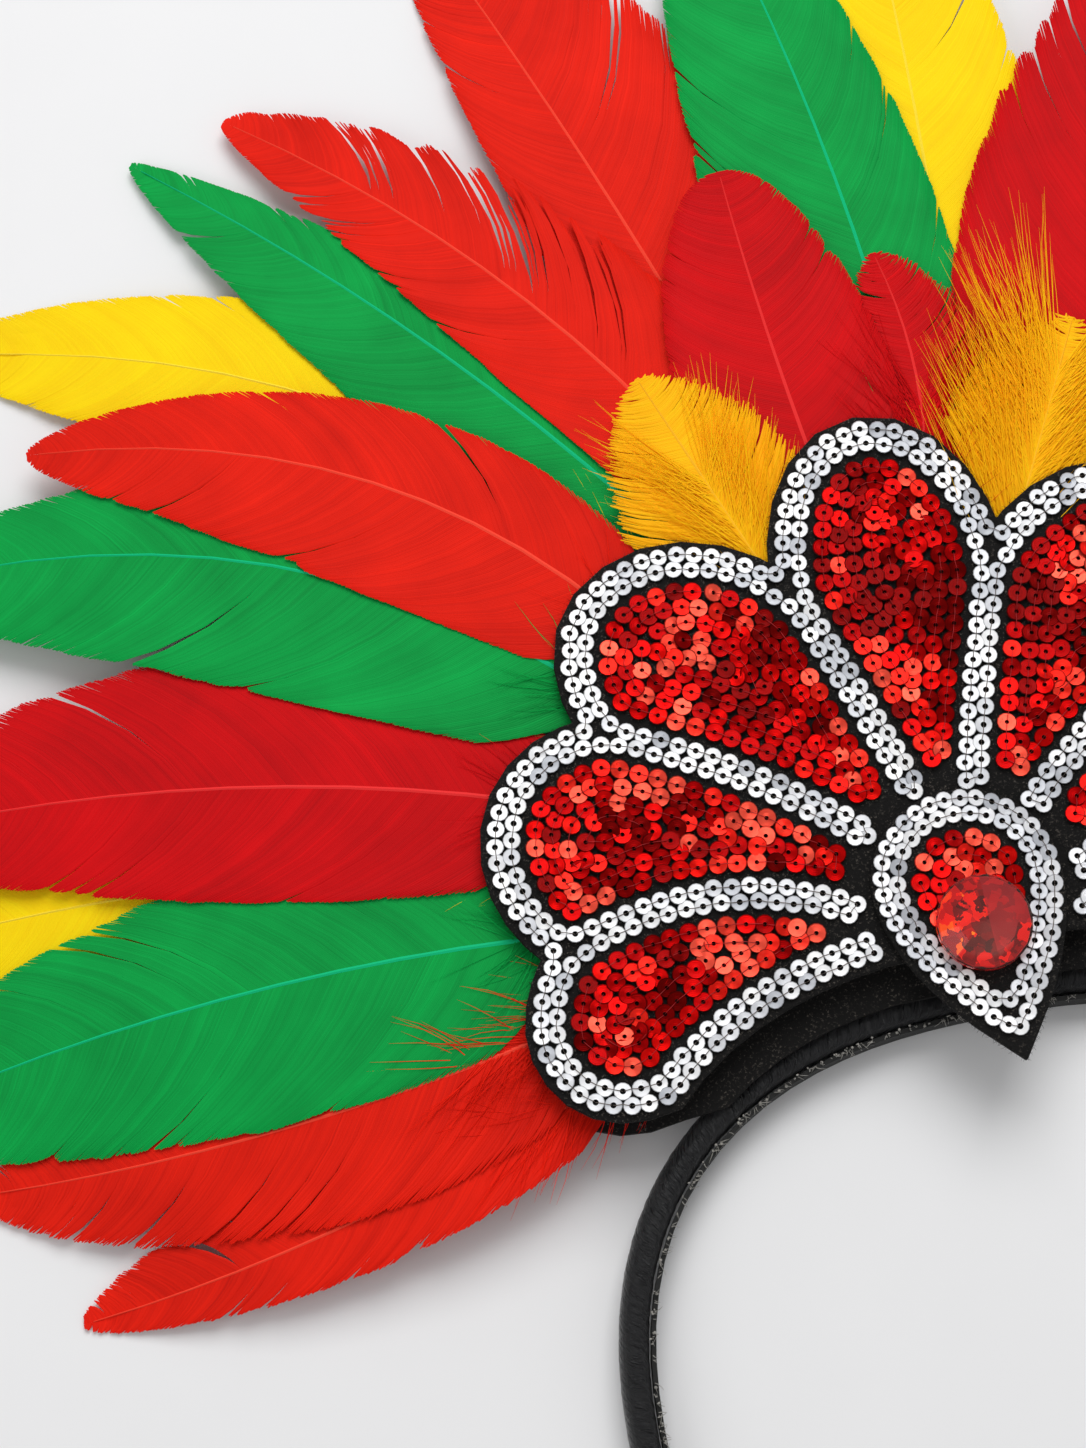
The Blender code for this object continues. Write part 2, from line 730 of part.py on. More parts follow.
def vane_height(x, y, layer):
    """Height of a vane's middle: level between the felts, then down to the table."""
    angle = abs(math.degrees(math.atan2(-x, y)))
    side = min(1.0, angle / SIDE_ANGLE) ** 3
    floor = FLOOR_REACH + (FLOOR_REACH_SIDE - FLOOR_REACH) * side
    share = (math.hypot(x, y) - FAN_REACH) / (floor - FAN_REACH)
    share = min(1.0, max(0.0, share))
    level = stack_floor() * (1.0 - share ** DROOP_POWER) + VANE_THICK / 2
    return level + layer * layer_pitch() * (1.0 + LAYER_SPREAD * share)


def build_feather(row, sections, layer, stack_top, parent):
    """One feather: a quill end that fills the space between the felts, and a vane."""
    curve = feather_line(row)
    length = curve[3]
    rings = []
    for distance in (0.0, QUILL_LENGTH):
        x, y, dx, dy = midrib_point(curve, distance / length)
        rings.append([
            (x - dy * QUILL_HALF, y + dx * QUILL_HALF, stack_floor()),
            (x, y, stack_floor()),
            (x + dy * QUILL_HALF, y - dx * QUILL_HALF, stack_floor()),
            (x + dy * QUILL_HALF, y - dx * QUILL_HALF, stack_top),
            (x, y, stack_top),
            (x - dy * QUILL_HALF, y + dx * QUILL_HALF, stack_top),
        ])
    for points in sections:
        heights = [vane_height(x, y, layer) for x, y in points]
        under = [(x, y, z - VANE_THICK / 2) for (x, y), z in zip(points, heights)]
        over = [(x, y, z + VANE_THICK / 2) for (x, y), z in zip(points, heights)]
        rings.append(under + over[::-1])
    return loft("feather_" + row[0], rings, row[1], parent)


def build_gem(parent, low):
    """Round stone with a flat back, a table and two rows of facets, on the sequins."""
    bm = bmesh.new()
    levels = [
        # radius, height, sides, turn in sides
        (GEM_RADIUS - GEM_GIRDLE / 4, 0.0, GEM_SIDES, 0.0),
        (GEM_RADIUS, GEM_GIRDLE, GEM_SIDES, 0.0),
        ((GEM_RADIUS + GEM_TABLE) / 2, GEM_GIRDLE + GEM_CROWN * 0.72, GEM_SIDES // 2, 0.5),
        (GEM_TABLE, GEM_GIRDLE + GEM_CROWN, GEM_SIDES // 2, 0.0),
    ]
    for radius, height, sides, turn in levels:
        for i in range(sides):
            angle = 2.0 * math.pi * (i + turn) / sides
            bm.verts.new((radius * math.cos(angle), radius * math.sin(angle), height))
    bmesh.ops.convex_hull(bm, input=bm.verts[:])
    item = add_object("gem", bm, "red_stone", parent)
    item.location = (0.0, -GEM_DROP, low)
    return item


def build_plaque(fan, low):
    """Teardrop of felt with its silver border, its red sequins and the stone."""
    plaque = add_empty("plaque", (0.0, 0.0, 0.0), PLAQUE_TURN, fan)
    line = plaque_line()
    felt_top = low + PLAQUE_FELT_THICK
    plate("plaque_felt", plaque_felt_outline(), low, felt_top, "black_felt", plaque)
    on_felt = felt_top + GAP
    outer = offset_line(line, [TRIM_HALF] * len(line), closed=True)
    inner = offset_line(line, [-TRIM_HALF] * len(line), closed=True)
    ring_plate("plaque_silver_trim", outer, inner, on_felt, on_felt + TRIM_THICK,
               "silver_sequin", plaque)
    field = offset_line(line, [-FIELD_INSET] * len(line), closed=True)
    upper = [point for point in field if point[1] > -PLAQUE_FIELD_FOOT]
    plate("plaque_sequins", upper, on_felt, on_felt + FIELD_THICK, "red_sequin", plaque,
          FIELD_ROUND)
    build_gem(plaque, on_felt + FIELD_THICK + GAP)


def build_fan():
    """Felts, feathers, sequins and plaque, all placed from the fan's centre."""
    fan = add_empty("fan", (0.0, BAND_THICK / 2 + FAN_RISE, 0.0))
    laid = lay_feathers()
    layers = 1 + max(layer for _, _, _, layer in laid)
    stack_top = stack_floor() + layers * layer_pitch() - GAP
    build_back_felt(fan, stack_top)
    for row, sections, _, layer in laid:
        build_feather(row, sections, layer, stack_top, fan)

    felt_low = stack_top + GAP
    felt_top = felt_low + FRONT_FELT_THICK
    plate("fan_front_felt", fan_outline(FRONT_FELT_MARGIN, FRONT_FELT_MARGIN), felt_low,
          felt_top, "black_felt", fan)
    on_felt = felt_top + GAP
    trim = fan_outline(TRIM_HALF, TRIM_HALF)
    for index in reversed(lobe_numbers()):
        line = lobe_outline(index, 0.0)
        trim += inset_line(line, TRIM_HALF)[::-1]
    plate("fan_silver_trim", trim, on_felt, on_felt + TRIM_THICK, "silver_sequin", fan)
    for number, index in enumerate(lobe_numbers(), 1):
        line = lobe_outline(index, FIELD_CLEAR - PLAQUE_FELT_MARGIN)
        plate(f"lobe_sequins_{number}", inset_line(line, FIELD_INSET), on_felt,
              on_felt + FIELD_THICK, "red_sequin", fan, FIELD_ROUND)
    build_plaque(fan, on_felt)


def main():
    """Build the whole headdress."""
    clear_scene()
    build_headband()
    build_fan()


main()
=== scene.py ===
"""Looks of a carnival feather headdress that lies on a pale table with its front up.

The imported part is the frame: every sequin, barb, fibre and stitch is laid on the solids
that it holds, in the same metres. Rows of sequins follow the edges of the part's own
plates. The feathers and the band repeat the driving sizes that the part is built from.
"""
import logging
import math
import random
from dataclasses import dataclass, field
from enum import Enum

import bmesh
import bpy
import numpy as np
from mathutils import Matrix, Vector, noise


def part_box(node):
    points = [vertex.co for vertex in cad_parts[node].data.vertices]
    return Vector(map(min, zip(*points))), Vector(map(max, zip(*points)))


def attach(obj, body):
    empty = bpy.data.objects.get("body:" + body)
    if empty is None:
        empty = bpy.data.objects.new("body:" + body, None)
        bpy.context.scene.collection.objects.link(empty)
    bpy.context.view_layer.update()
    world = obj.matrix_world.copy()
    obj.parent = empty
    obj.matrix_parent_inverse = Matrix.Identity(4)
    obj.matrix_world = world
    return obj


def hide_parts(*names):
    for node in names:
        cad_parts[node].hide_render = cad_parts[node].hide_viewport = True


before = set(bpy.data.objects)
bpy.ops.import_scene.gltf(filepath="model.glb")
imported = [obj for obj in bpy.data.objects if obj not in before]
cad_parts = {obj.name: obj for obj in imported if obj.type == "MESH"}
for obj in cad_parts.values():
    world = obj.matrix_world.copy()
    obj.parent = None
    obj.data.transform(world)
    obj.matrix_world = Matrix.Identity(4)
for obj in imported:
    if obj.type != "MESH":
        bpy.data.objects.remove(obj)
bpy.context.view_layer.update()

MM = 0.001
BODY = "root"
Colour = tuple[float, float, float]
LOG = logging.getLogger("headdress")


def srgb(red: int, green: int, blue: int) -> Colour:
    """Linear colour of a colour as it shows on a screen."""
    parts = (red / 255.0, green / 255.0, blue / 255.0)
    return tuple(p / 12.92 if p <= 0.04045 else ((p + 0.055) / 1.055) ** 2.4 for p in parts)


class Socket:
    """One output of a shader node, on which arithmetic adds Math nodes."""

    def __init__(self, shader: "Shader", output: bpy.types.NodeSocket) -> None:
        """Wrap an output of one of the shader's nodes."""
        self.shader = shader
        self.output = output

    def sibling(self, name: str) -> "Socket":
        """Another output of the same node."""
        return Socket(self.shader, self.output.node.outputs[name])

    def math(self, operation: str, *others: "Socket | float") -> "Socket":
        """Result of a Math node on this value and others."""
        return self.shader.math(operation, self, *others)

    def clamp(self) -> "Socket":
        """The value held between 0 and 1."""
        return self.shader.node("ShaderNodeClamp", {}, {"Value": self})

    def __add__(self, other: "Socket | float") -> "Socket":
        """Sum."""
        return self.shader.math("ADD", self, other)

    def __sub__(self, other: "Socket | float") -> "Socket":
        """Difference."""
        return self.shader.math("SUBTRACT", self, other)

    def __rsub__(self, other: "Socket | float") -> "Socket":
        """Difference from a number on the left."""
        return self.shader.math("SUBTRACT", other, self)

    def __mul__(self, other: "Socket | float") -> "Socket":
        """Product."""
        return self.shader.math("MULTIPLY", self, other)

    def __truediv__(self, other: "Socket | float") -> "Socket":
        """Quotient."""
        return self.shader.math("DIVIDE", self, other)

    __radd__ = __add__
    __rmul__ = __mul__


class Shader:
    """A new material whose Principled shader is fed by expressions."""

    def __init__(self, name: str, **constants: float) -> None:
        """Make the material.

        Args:
            name: the material's name.
            constants: values of the Principled shader's sockets, with _ for each space.
        """
        self.material = bpy.data.materials.new(name)
        self.material.use_nodes = True
        self.tree = self.material.node_tree
        self.surface = self.tree.nodes["Principled BSDF"]
        for key, value in constants.items():
            self.set(key.replace("_", " ").title().replace("Ior", "IOR"), value)

    def set(self, name: str, value: "Socket | float | Colour") -> None:
        """Set or link one socket of the Principled shader."""
        self._feed(self.surface.inputs[name], value)

    def _feed(self, target: bpy.types.NodeSocket, value: "Socket | float | Colour") -> None:
        """Link a socket, or set it as it is."""
        if isinstance(value, Socket):
            self.tree.links.new(value.output, target)
        elif isinstance(value, tuple) and target.type == "RGBA":
            target.default_value = (*value[:3], 1.0)
        else:
            target.default_value = value

    def node(self, kind: str, settings: dict[str, object], inputs: dict[str | int, object],
             output: str | int = 0) -> Socket:
        """Add any node.

        Args:
            kind: the node's type.
            settings: its settings, and a ramp's stops as (place, colour) pairs.
            inputs: values or links by socket name or number.
            output: the output to return.

        Returns:
            The chosen output.
        """
        made = self.tree.nodes.new(kind)
        for key, value in settings.items():
            if key == "stops":
                ramp = made.color_ramp.elements
                while len(ramp) < len(value):
                    ramp.new(0.5)
                for element, (place, colour) in zip(ramp, value):
                    element.position = place
                    element.color = (*colour, 1.0)
            else:
                setattr(made, key, value)
        for key, value in inputs.items():
            self._feed(made.inputs[key], value)
        return Socket(self, made.outputs[output])

    def math(self, operation: str, *values: "Socket | float") -> Socket:
        """Math node on up to three values."""
        inputs = dict(enumerate(values))
        return self.node("ShaderNodeMath", {"operation": operation}, inputs)

    def mix(self, factor: "Socket | float", first: "Socket | Colour",
            second: "Socket | Colour", blend: str = "MIX") -> Socket:
        """Mix two colours."""
        settings = {"data_type": "RGBA", "blend_type": blend}
        return self.node("ShaderNodeMix", settings, {0: factor, 6: first, 7: second}, 2)

    def place(self, stretch: Colour = (1.0, 1.0, 1.0)) -> Socket:
        """Object coordinates, stretched."""
        spot = self.node("ShaderNodeTexCoord", {}, {}, "Object")
        return self.node("ShaderNodeMapping", {}, {"Vector": spot, "Scale": stretch})

    def unwrapped(self, stretch: Colour = (1.0, 1.0, 1.0)) -> Socket:
        """The piece's own UV map, stretched."""
        spot = self.node("ShaderNodeUVMap", {"uv_map": "UVMap"}, {})
        return self.node("ShaderNodeMapping", {}, {"Vector": spot, "Scale": stretch})

    def value_of(self, name: str) -> Socket:
        """A number kept on the mesh."""
        return self.node("ShaderNodeAttribute", {"attribute_name": name}, {}, "Fac")

    def noise(self, at: Socket, scale: float, detail: float = 3.0, rough: float = 0.5) -> Socket:
        """Noise from 0 to 1 at a number of cells per unit."""
        inputs = {"Vector": at, "Scale": scale, "Detail": detail, "Roughness": rough}
        return self.node("ShaderNodeTexNoise", {}, inputs)

    def ramp(self, value: Socket, stops: list[tuple[float, Colour]]) -> Socket:
        """Colour ramp."""
        return self.node("ShaderNodeValToRGB", {"stops": stops}, {"Fac": value})

    def bump(self, height: Socket, distance: float, strength: float = 1.0) -> None:
        """Bump the surface by a height."""
        inputs = {"Height": height, "Distance": distance, "Strength": strength}
        self.set("Normal", self.node("ShaderNodeBump", {}, inputs))


@dataclass(frozen=True)
class FeatherFinish:
    """Dyed goose feather: fine barbs, a paler stem, and painted shade near the vane's foot, where
    the feathers overlap at the felt.
    """

    name: str
    deep: Colour
    bright: Colour
    stem: Colour

    def make(self) -> bpy.types.Material:
        """Return the material, coloured by each barb's own tone and painted shade, and by its
        length.
        """
        shader = Shader(self.name, roughness=0.6, specular_ior_level=0.10)
        shade = shader.value_of("shade")
        patches = shader.noise(shader.place(), 55.0, 3.0, 0.55)
        streaks = shader.noise(shader.unwrapped((3.0, 260.0, 1.0)), 1.0, 2.0)
        # each barb's shade value holds its random tone and the painted shade near the vane's foot
        tone = (shade * 0.80 + patches * 0.60 + streaks * 0.08 - 0.06).clamp()
        colour = shader.mix(tone, self.deep, self.bright)
        stemmed = shader.mix(shader.value_of("stem"), colour, self.stem)
        shader.set("Base Color", stemmed)
        barbules = shader.noise(shader.unwrapped((220.0, 900.0, 1.0)), 1.0, 2.0)
        shader.bump(barbules, 0.00006, 0.5)
        return shader.material


@dataclass(frozen=True)
class FeltFinish:
    """Black craft felt with paler specks and a pressed, slightly shiny nap."""

    base: Colour = (0.0065, 0.0060, 0.0058)
    speck: Colour = (0.150, 0.130, 0.110)

    def make(self) -> bpy.types.Material:
        """Return the material."""
        shader = Shader("black_felt_nap", roughness=0.85, specular_ior_level=0.25)
        fine = shader.noise(shader.place(), 2300.0, 4.0, 0.65)
        coarse = shader.noise(shader.place(), 420.0, 3.0, 0.6)
        specks = ((fine - 0.56) * 8.0).clamp() * ((coarse - 0.30) * 2.5).clamp()
        shader.set("Base Color", shader.mix(specks, self.base, self.speck))
        shader.set("Roughness", 0.90 - specks * 0.45)
        shader.bump(fine + coarse * 0.6, 0.00045, 1.0)
        return shader.material


@dataclass(frozen=True)
class SatinFinish:
    """Black satin ribbon wound round the band, with fine creases across it that are painted a
    little lighter as painted sheen.
    """

    base: Colour = (0.0030, 0.0030, 0.0034)
    # painted sheen: the lighter colour of the creases
    crease_sheen: Colour = (0.012, 0.012, 0.014)

    def make(self) -> bpy.types.Material:
        """Return the material, whose creases slant over the band's own UV map."""
        shader = Shader("black_satin_ribbon", specular_ior_level=0.45)
        spot = shader.node("ShaderNodeMapping", {}, {
            "Vector": shader.unwrapped((1.0, 0.022, 1.0)), "Rotation": (0.0, 0.0, 0.55)})
        folds = shader.node("ShaderNodeMapping", {}, {
            "Vector": spot, "Scale": (1500.0, 190.0, 1.0)})
        creases = shader.noise(folds, 1.0, 3.0, 0.6)
        threads = shader.noise(shader.unwrapped((9000.0, 40.0, 1.0)), 1.0, 2.0)
        # painted sheen: the creases are painted lighter than the black base
        shader.set("Base Color", shader.mix(creases, self.base, self.crease_sheen))
        shader.set("Roughness", 0.20 + creases * 0.18)
        shader.bump(creases + threads * 0.15, 0.0018, 1.0)
        return shader.material


@dataclass(frozen=True)
class SequinFinish:
    """Flat plastic sequins in one dye, each with its own painted highlight, and with painted shade
    at its rim.
    """

    name: str
    stops: tuple[tuple[float, Colour], ...]
    metal: float
    roughness: float
    # colour of the painted shade at each sequin's rim
    rim: Colour
    coat: float = 0.02
    rim_shade_share: float = 0.85
    gloss: float = 0.06

    def make(self) -> bpy.types.Material:
        """Return the material, with a faint pressed ring near each hole."""
        shader = Shader(self.name, metallic=self.metal, specular_ior_level=self.gloss,
                        coat_weight=self.coat, coat_roughness=0.12)
        # painted highlight: each sequin's glint value lifts its colour towards the bright end of
        # the stops
        glint = shader.value_of("glint")
        grain = shader.noise(shader.place(), 900.0, 3.0)
        tone = (glint + (grain - 0.5) * 0.16).clamp()
        colour = shader.ramp(tone, list(self.stops))
        reach = shader.value_of("reach")
        # painted shade: the colour darkens towards the rim colour near each sequin's edge
        edge = ((reach - 0.88) * 12.0).clamp() * self.rim_shade_share
        shader.set("Base Color", shader.mix(edge, colour, self.rim))
        shader.set("Roughness", self.roughness + grain * 0.12)
        ring = (reach * 36.0).math("SINE")
        shader.bump(ring * 0.3 + grain * 0.5, 0.00006, 0.6)
        return shader.material


@dataclass(frozen=True)
class PlainFinish:
    """One even substance with a little grain: thread, glue, lining or the table."""

    name: str
    dark: Colour
    light: Colour
    grain: float
    roughness: float = 0.6
    depth: float = 0.0001
    clear: float = 0.0

    def make(self) -> bpy.types.Material:
        """Return the material."""
        shader = Shader(self.name, transmission_weight=self.clear)
        grain = shader.noise(shader.place(), self.grain, 3.0)
        shader.set("Base Color", shader.mix(grain, self.dark, self.light))
        shader.set("Roughness", self.roughness - 0.05 + grain * 0.1)
        shader.bump(grain, self.depth, 0.5)
        return shader.material


@dataclass(frozen=True)
class StoneFinish:
    """Clear red stone, and the foil behind it, whose facets carry painted glints and a painted
    reflection.
    """

    tint: Colour = (1.0, 0.42, 0.32)
    pale: Colour = (1.0, 0.60, 0.50)
    glow: float = 0.55
    # painted reflection: dusky colour over the foil's right half, where the stone's flat top shows
    # a reflection
    veil: Colour = srgb(150, 34, 44)
    # stops of the painted glints, from dark red facets to orange ones painted as catching the light
    foil: tuple[tuple[float, Colour], ...] = (
        (0.0, srgb(52, 0, 2)), (0.30, srgb(112, 0, 4)), (0.50, srgb(192, 0, 4)),
        (0.70, srgb(246, 26, 6)), (0.94, srgb(255, 176, 16)))

    def clear(self) -> bpy.types.Material:
        """Return the clear body's material."""
        shader = Shader("red_stone_clear", roughness=0.01, transmission_weight=1.0, ior=1.5)
        cloud = shader.noise(shader.place(), 260.0, 2.0)
        shader.set("Base Color", shader.mix(cloud, self.tint, self.pale))
        return shader.material

    def backing(self) -> bpy.types.Material:
        """Return the foil's material, coloured by each facet's painted glint and painted
        reflection.

        A little glow stands for the light that the stone's lower facets send back up.
        """
        shader = Shader("red_stone_foil", roughness=0.4, emission_strength=self.glow)
        bent = shader.node("ShaderNodeMix", {"data_type": "RGBA", "blend_type": "LINEAR_LIGHT"}, {
            0: 0.002, 6: shader.place(), 7: shader.noise(shader.place(), 500.0).sibling("Color")},
            2)
        cells = shader.node("ShaderNodeTexVoronoi", {"feature": "F1"},
                            {"Vector": bent, "Scale": 520.0}, "Color")
        # painted glints: each facet's value and a mosaic of cells pick a colour from dark red to
        # orange
        tone = (shader.value_of("glint") + (cells * 1.0 - 0.5) * 0.75).clamp()
        mosaic = shader.ramp(tone, list(self.foil))
        # painted reflection: the veiled facets are mixed towards the dusky reflection colour
        colour = shader.mix(shader.value_of("veil") * 0.72, mosaic, self.veil)
        shader.set("Base Color", colour)
        shader.set("Emission Color", colour)
        return shader.material


class Dye(Enum):
    """Feather colours, each with its record slot and its finish."""

    RED = ("red_feather", FeatherFinish("red_feather_barbs", srgb(150, 0, 0),
                                        srgb(242, 32, 10), srgb(250, 72, 52)))
    CRIMSON = ("red_feather", FeatherFinish("crimson_feather_barbs", srgb(120, 0, 6),
                                            srgb(222, 6, 14), srgb(240, 52, 52)))
    GREEN = ("green_feather", FeatherFinish("green_feather_barbs", srgb(0, 84, 32),
                                            srgb(4, 170, 74), srgb(16, 190, 126)))
    YELLOW = ("yellow_feather", FeatherFinish("yellow_feather_barbs", srgb(242, 176, 0),
                                              srgb(255, 226, 6), srgb(255, 226, 60)))
    ORANGE = ("orange_feather", FeatherFinish("orange_feather_barbs", srgb(255, 142, 0),
                                              srgb(255, 198, 10), srgb(255, 192, 40)))


@dataclass
class Bundle:
    """Many small closed shapes joined in one mesh, with a UV map and values on points."""

    places: list[np.ndarray] = field(default_factory=list)
    faces: list[np.ndarray] = field(default_factory=list)
    unwrapped: list[np.ndarray] = field(default_factory=list)
    values: dict[str, list[np.ndarray]] = field(default_factory=dict)
    count: int = 0

    def add(self, places: np.ndarray, faces: np.ndarray, unwrapped: np.ndarray,
            values: dict[str, np.ndarray]) -> None:
        """Add copies of one shape.

        Args:
            places: points of each copy, copies by points by 3.
            faces: corner numbers of the shape's triangles.
            unwrapped: UV place of each point, copies by points by 2.
            values: named numbers for each point, copies by points.
        """
        copies, points = places.shape[:2]
        starts = self.count + np.arange(copies)[:, None, None] * points
        self.places.append(places.reshape(-1, 3))
        self.faces.append((faces[None] + starts).reshape(-1, 3))
        self.unwrapped.append(unwrapped.reshape(-1, 2))
        for name, number in values.items():
            self.values.setdefault(name, []).append(number.reshape(-1))
        self.count += copies * points

    def build(self, name: str, material: bpy.types.Material, smooth: bool = False
              ) -> bpy.types.Object:
        """Join what was added into one object.

        Args:
            name: the piece's name.
            material: its finish.
            smooth: whether its faces are shaded smooth.

        Returns:
            The new object.
        """
        places = np.concatenate(self.places)
        faces = np.concatenate(self.faces)
        unwrapped = np.concatenate(self.unwrapped)
        mesh = bpy.data.meshes.new(name)
        mesh.vertices.add(len(places))
        mesh.vertices.foreach_set("co", places.ravel())
        mesh.loops.add(faces.size)
        mesh.loops.foreach_set("vertex_index", faces.ravel())
        mesh.polygons.add(len(faces))
        mesh.polygons.foreach_set("loop_start", np.arange(0, faces.size, 3))
        mesh.uv_layers.new(name="UVMap").data.foreach_set("uv", unwrapped[faces.ravel()].ravel())
        for key, numbers in self.values.items():
            layer = mesh.attributes.new(key, "FLOAT", "POINT")
            layer.data.foreach_set("value", np.concatenate(numbers).astype(np.float32))
        mesh.update(calc_edges=True)
        mesh.polygons.foreach_set("use_smooth", np.full(len(faces), smooth))
        mesh.materials.append(material)
        item = bpy.data.objects.new(name, mesh)
        bpy.context.scene.collection.objects.link(item)
        return item


def object_from(bm: bmesh.types.BMesh, name: str, material: bpy.types.Material,
                sharp: float = 40.0) -> bpy.types.Object:
    """Turn a bmesh into a piece, shaded smooth except over sharp edges.

    Args:
        bm: the shape, which is freed.
        name: the piece's name.
        material: its finish.
        sharp: the angle in degrees above which an edge stays sharp.

    Returns:
        The new object.
    """
    mesh = bpy.data.meshes.new(name)
    bm.to_mesh(mesh)
    bm.free()
    mesh.materials.append(material)
    mesh.shade_smooth()
    mesh.set_sharp_from_angle(angle=math.radians(sharp))
    item = bpy.data.objects.new(name, mesh)
    bpy.context.scene.collection.objects.link(item)
    return item


def shape_arrays(bm: bmesh.types.BMesh) -> tuple[np.ndarray, np.ndarray]:
    """Points and triangles of a closed bmesh, which is freed."""
    bmesh.ops.recalc_face_normals(bm, faces=bm.faces[:])
    bmesh.ops.triangulate(bm, faces=bm.faces[:])
    bm.verts.index_update()
    points = np.array([tuple(v.co) for v in bm.verts])
    faces = np.array([[v.index for v in f.verts] for f in bm.faces])
    bm.free()
    return points, faces


def finish_piece(item: bpy.types.Object, slot: str, *nodes: str) -> bpy.types.Object:
    """Make a piece ride on the part and stand for its nodes.

    Args:
        item: the piece.
        slot: the record's material slot; not used.
        nodes: the part's nodes that it stands for.

    Returns:
        The piece.
    """
    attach(item, BODY)
    if nodes:
        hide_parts(*nodes)
    triangles = sum(len(p.vertices) - 2 for p in item.data.polygons)
    LOG.info("%s: %d triangles, stands for %s", item.name, triangles, ", ".join(nodes) or "-")
    return item


@dataclass
class Strands:
    """Thin closed strands with a three-sided section, bent along paths."""

    sections: int = 5

    def __post_init__(self) -> None:
        """Make the straight strand that every copy is bent from."""
        bm = bmesh.new()
        corners = [bm.verts.new(spot) for spot in ((-1.0, 0.0, 0.0), (1.0, 0.0, 0.0),
                                                   (0.0, 1.0, 0.0))]
        cap = bm.faces.new(corners)
        for _ in range(self.sections - 1):
            lifted = bmesh.ops.extrude_face_region(bm, geom=[cap])["geom"]
            moved = [part for part in lifted if isinstance(part, bmesh.types.BMVert)]
            bmesh.ops.translate(bm, verts=moved, vec=(0.0, 0.0, 1.0))
            old, cap = cap, next(p for p in lifted if isinstance(p, bmesh.types.BMFace))
            if old.is_valid and old.calc_center_median().z > 0.5:
                bmesh.ops.delete(bm, geom=[old], context="FACES_ONLY")
        self.points, self.faces = shape_arrays(bm)

    def lay(self, bundle: Bundle, paths: np.ndarray, widths: np.ndarray, thick: float,
            rolls: np.ndarray, across: np.ndarray, values: dict[str, np.ndarray]) -> None:
        """Add one strand for each path.

        Args:
            bundle: the mesh to add to.
            paths: strands by sections by 3.
            widths: half width of each strand at each section.
            thick: height of the ridge over the strand's flat side.
            rolls: turn of each strand about its own line, in radians.
            across: second UV number of each strand.
            values: named numbers, one for each strand.
        """
        ways = np.gradient(paths, axis=1)
        ways /= np.linalg.norm(ways, axis=2, keepdims=True) + 1e-12
        sides = np.cross(np.array([0.0, 0.0, 1.0]), ways)
        sides /= np.linalg.norm(sides, axis=2, keepdims=True) + 1e-12
        ups = np.cross(ways, sides)
        turn = rolls[:, None, None]
        sides, ups = (sides * np.cos(turn) + ups * np.sin(turn),
                      ups * np.cos(turn) - sides * np.sin(turn))
        level = np.rint(self.points[:, 2]).astype(int)
        places = (paths[:, level] + sides[:, level] * (widths[:, level]
                  * self.points[None, :, 0])[:, :, None]
                  + ups[:, level] * (self.points[None, :, 1] * thick)[:, :, None])
        along = np.broadcast_to(level / (self.sections - 1), places.shape[:2])
        flat = np.stack([along, np.broadcast_to(across[:, None], places.shape[:2])], axis=2)
        spread = {key: np.broadcast_to(number[:, None], places.shape[:2])
                  for key, number in values.items()}
        bundle.add(places, self.faces, flat, spread)


def upper_loops(node: str) -> list[np.ndarray]:
    """Edges of a plate's upper face, the outer one anticlockwise and any hole clockwise.

    Args:
        node: the part's node.

    Returns:
        Closed lines of points in plan, with the plate on their left, the longest first.
    """
    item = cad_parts[node]
    bm = bmesh.new()
    bm.from_mesh(item.data)
    bm.transform(item.matrix_world)
    bmesh.ops.remove_doubles(bm, verts=bm.verts[:], dist=1e-6)
    bm.normal_update()
    top = max(v.co.z for v in bm.verts)
    flat = {f for f in bm.faces if f.normal.z > 0.9 and f.calc_center_median().z > top - 1e-5}
    follow = {}
    for face in flat:
        for loop in face.loops:
            if sum(1 for other in loop.edge.link_faces if other in flat) == 1:
                follow[loop.vert] = loop.link_loop_next.vert
    loops = []
    while follow:
        first = next(iter(follow))
        line = []
        here = first
        while here in follow:
            line.append((here.co.x, here.co.y))
            here = follow.pop(here)
        loops.append(np.array(line))
    bm.free()
    return sorted(loops, key=len, reverse=True)


def edge_distance(points: np.ndarray, loops: list[np.ndarray]) -> np.ndarray:
    """Shortest distance from each point to any of the closed lines."""
    starts = np.concatenate(loops)
    ends = np.concatenate([np.roll(line, -1, axis=0) for line in loops])
    span = ends - starts
    offset = points[:, None] - starts[None]
    share = (offset * span).sum(axis=2) / ((span * span).sum(axis=1) + 1e-18)
    near = offset - np.clip(share, 0.0, 1.0)[..., None] * span[None]
    return np.sqrt((near * near).sum(axis=2)).min(axis=1)


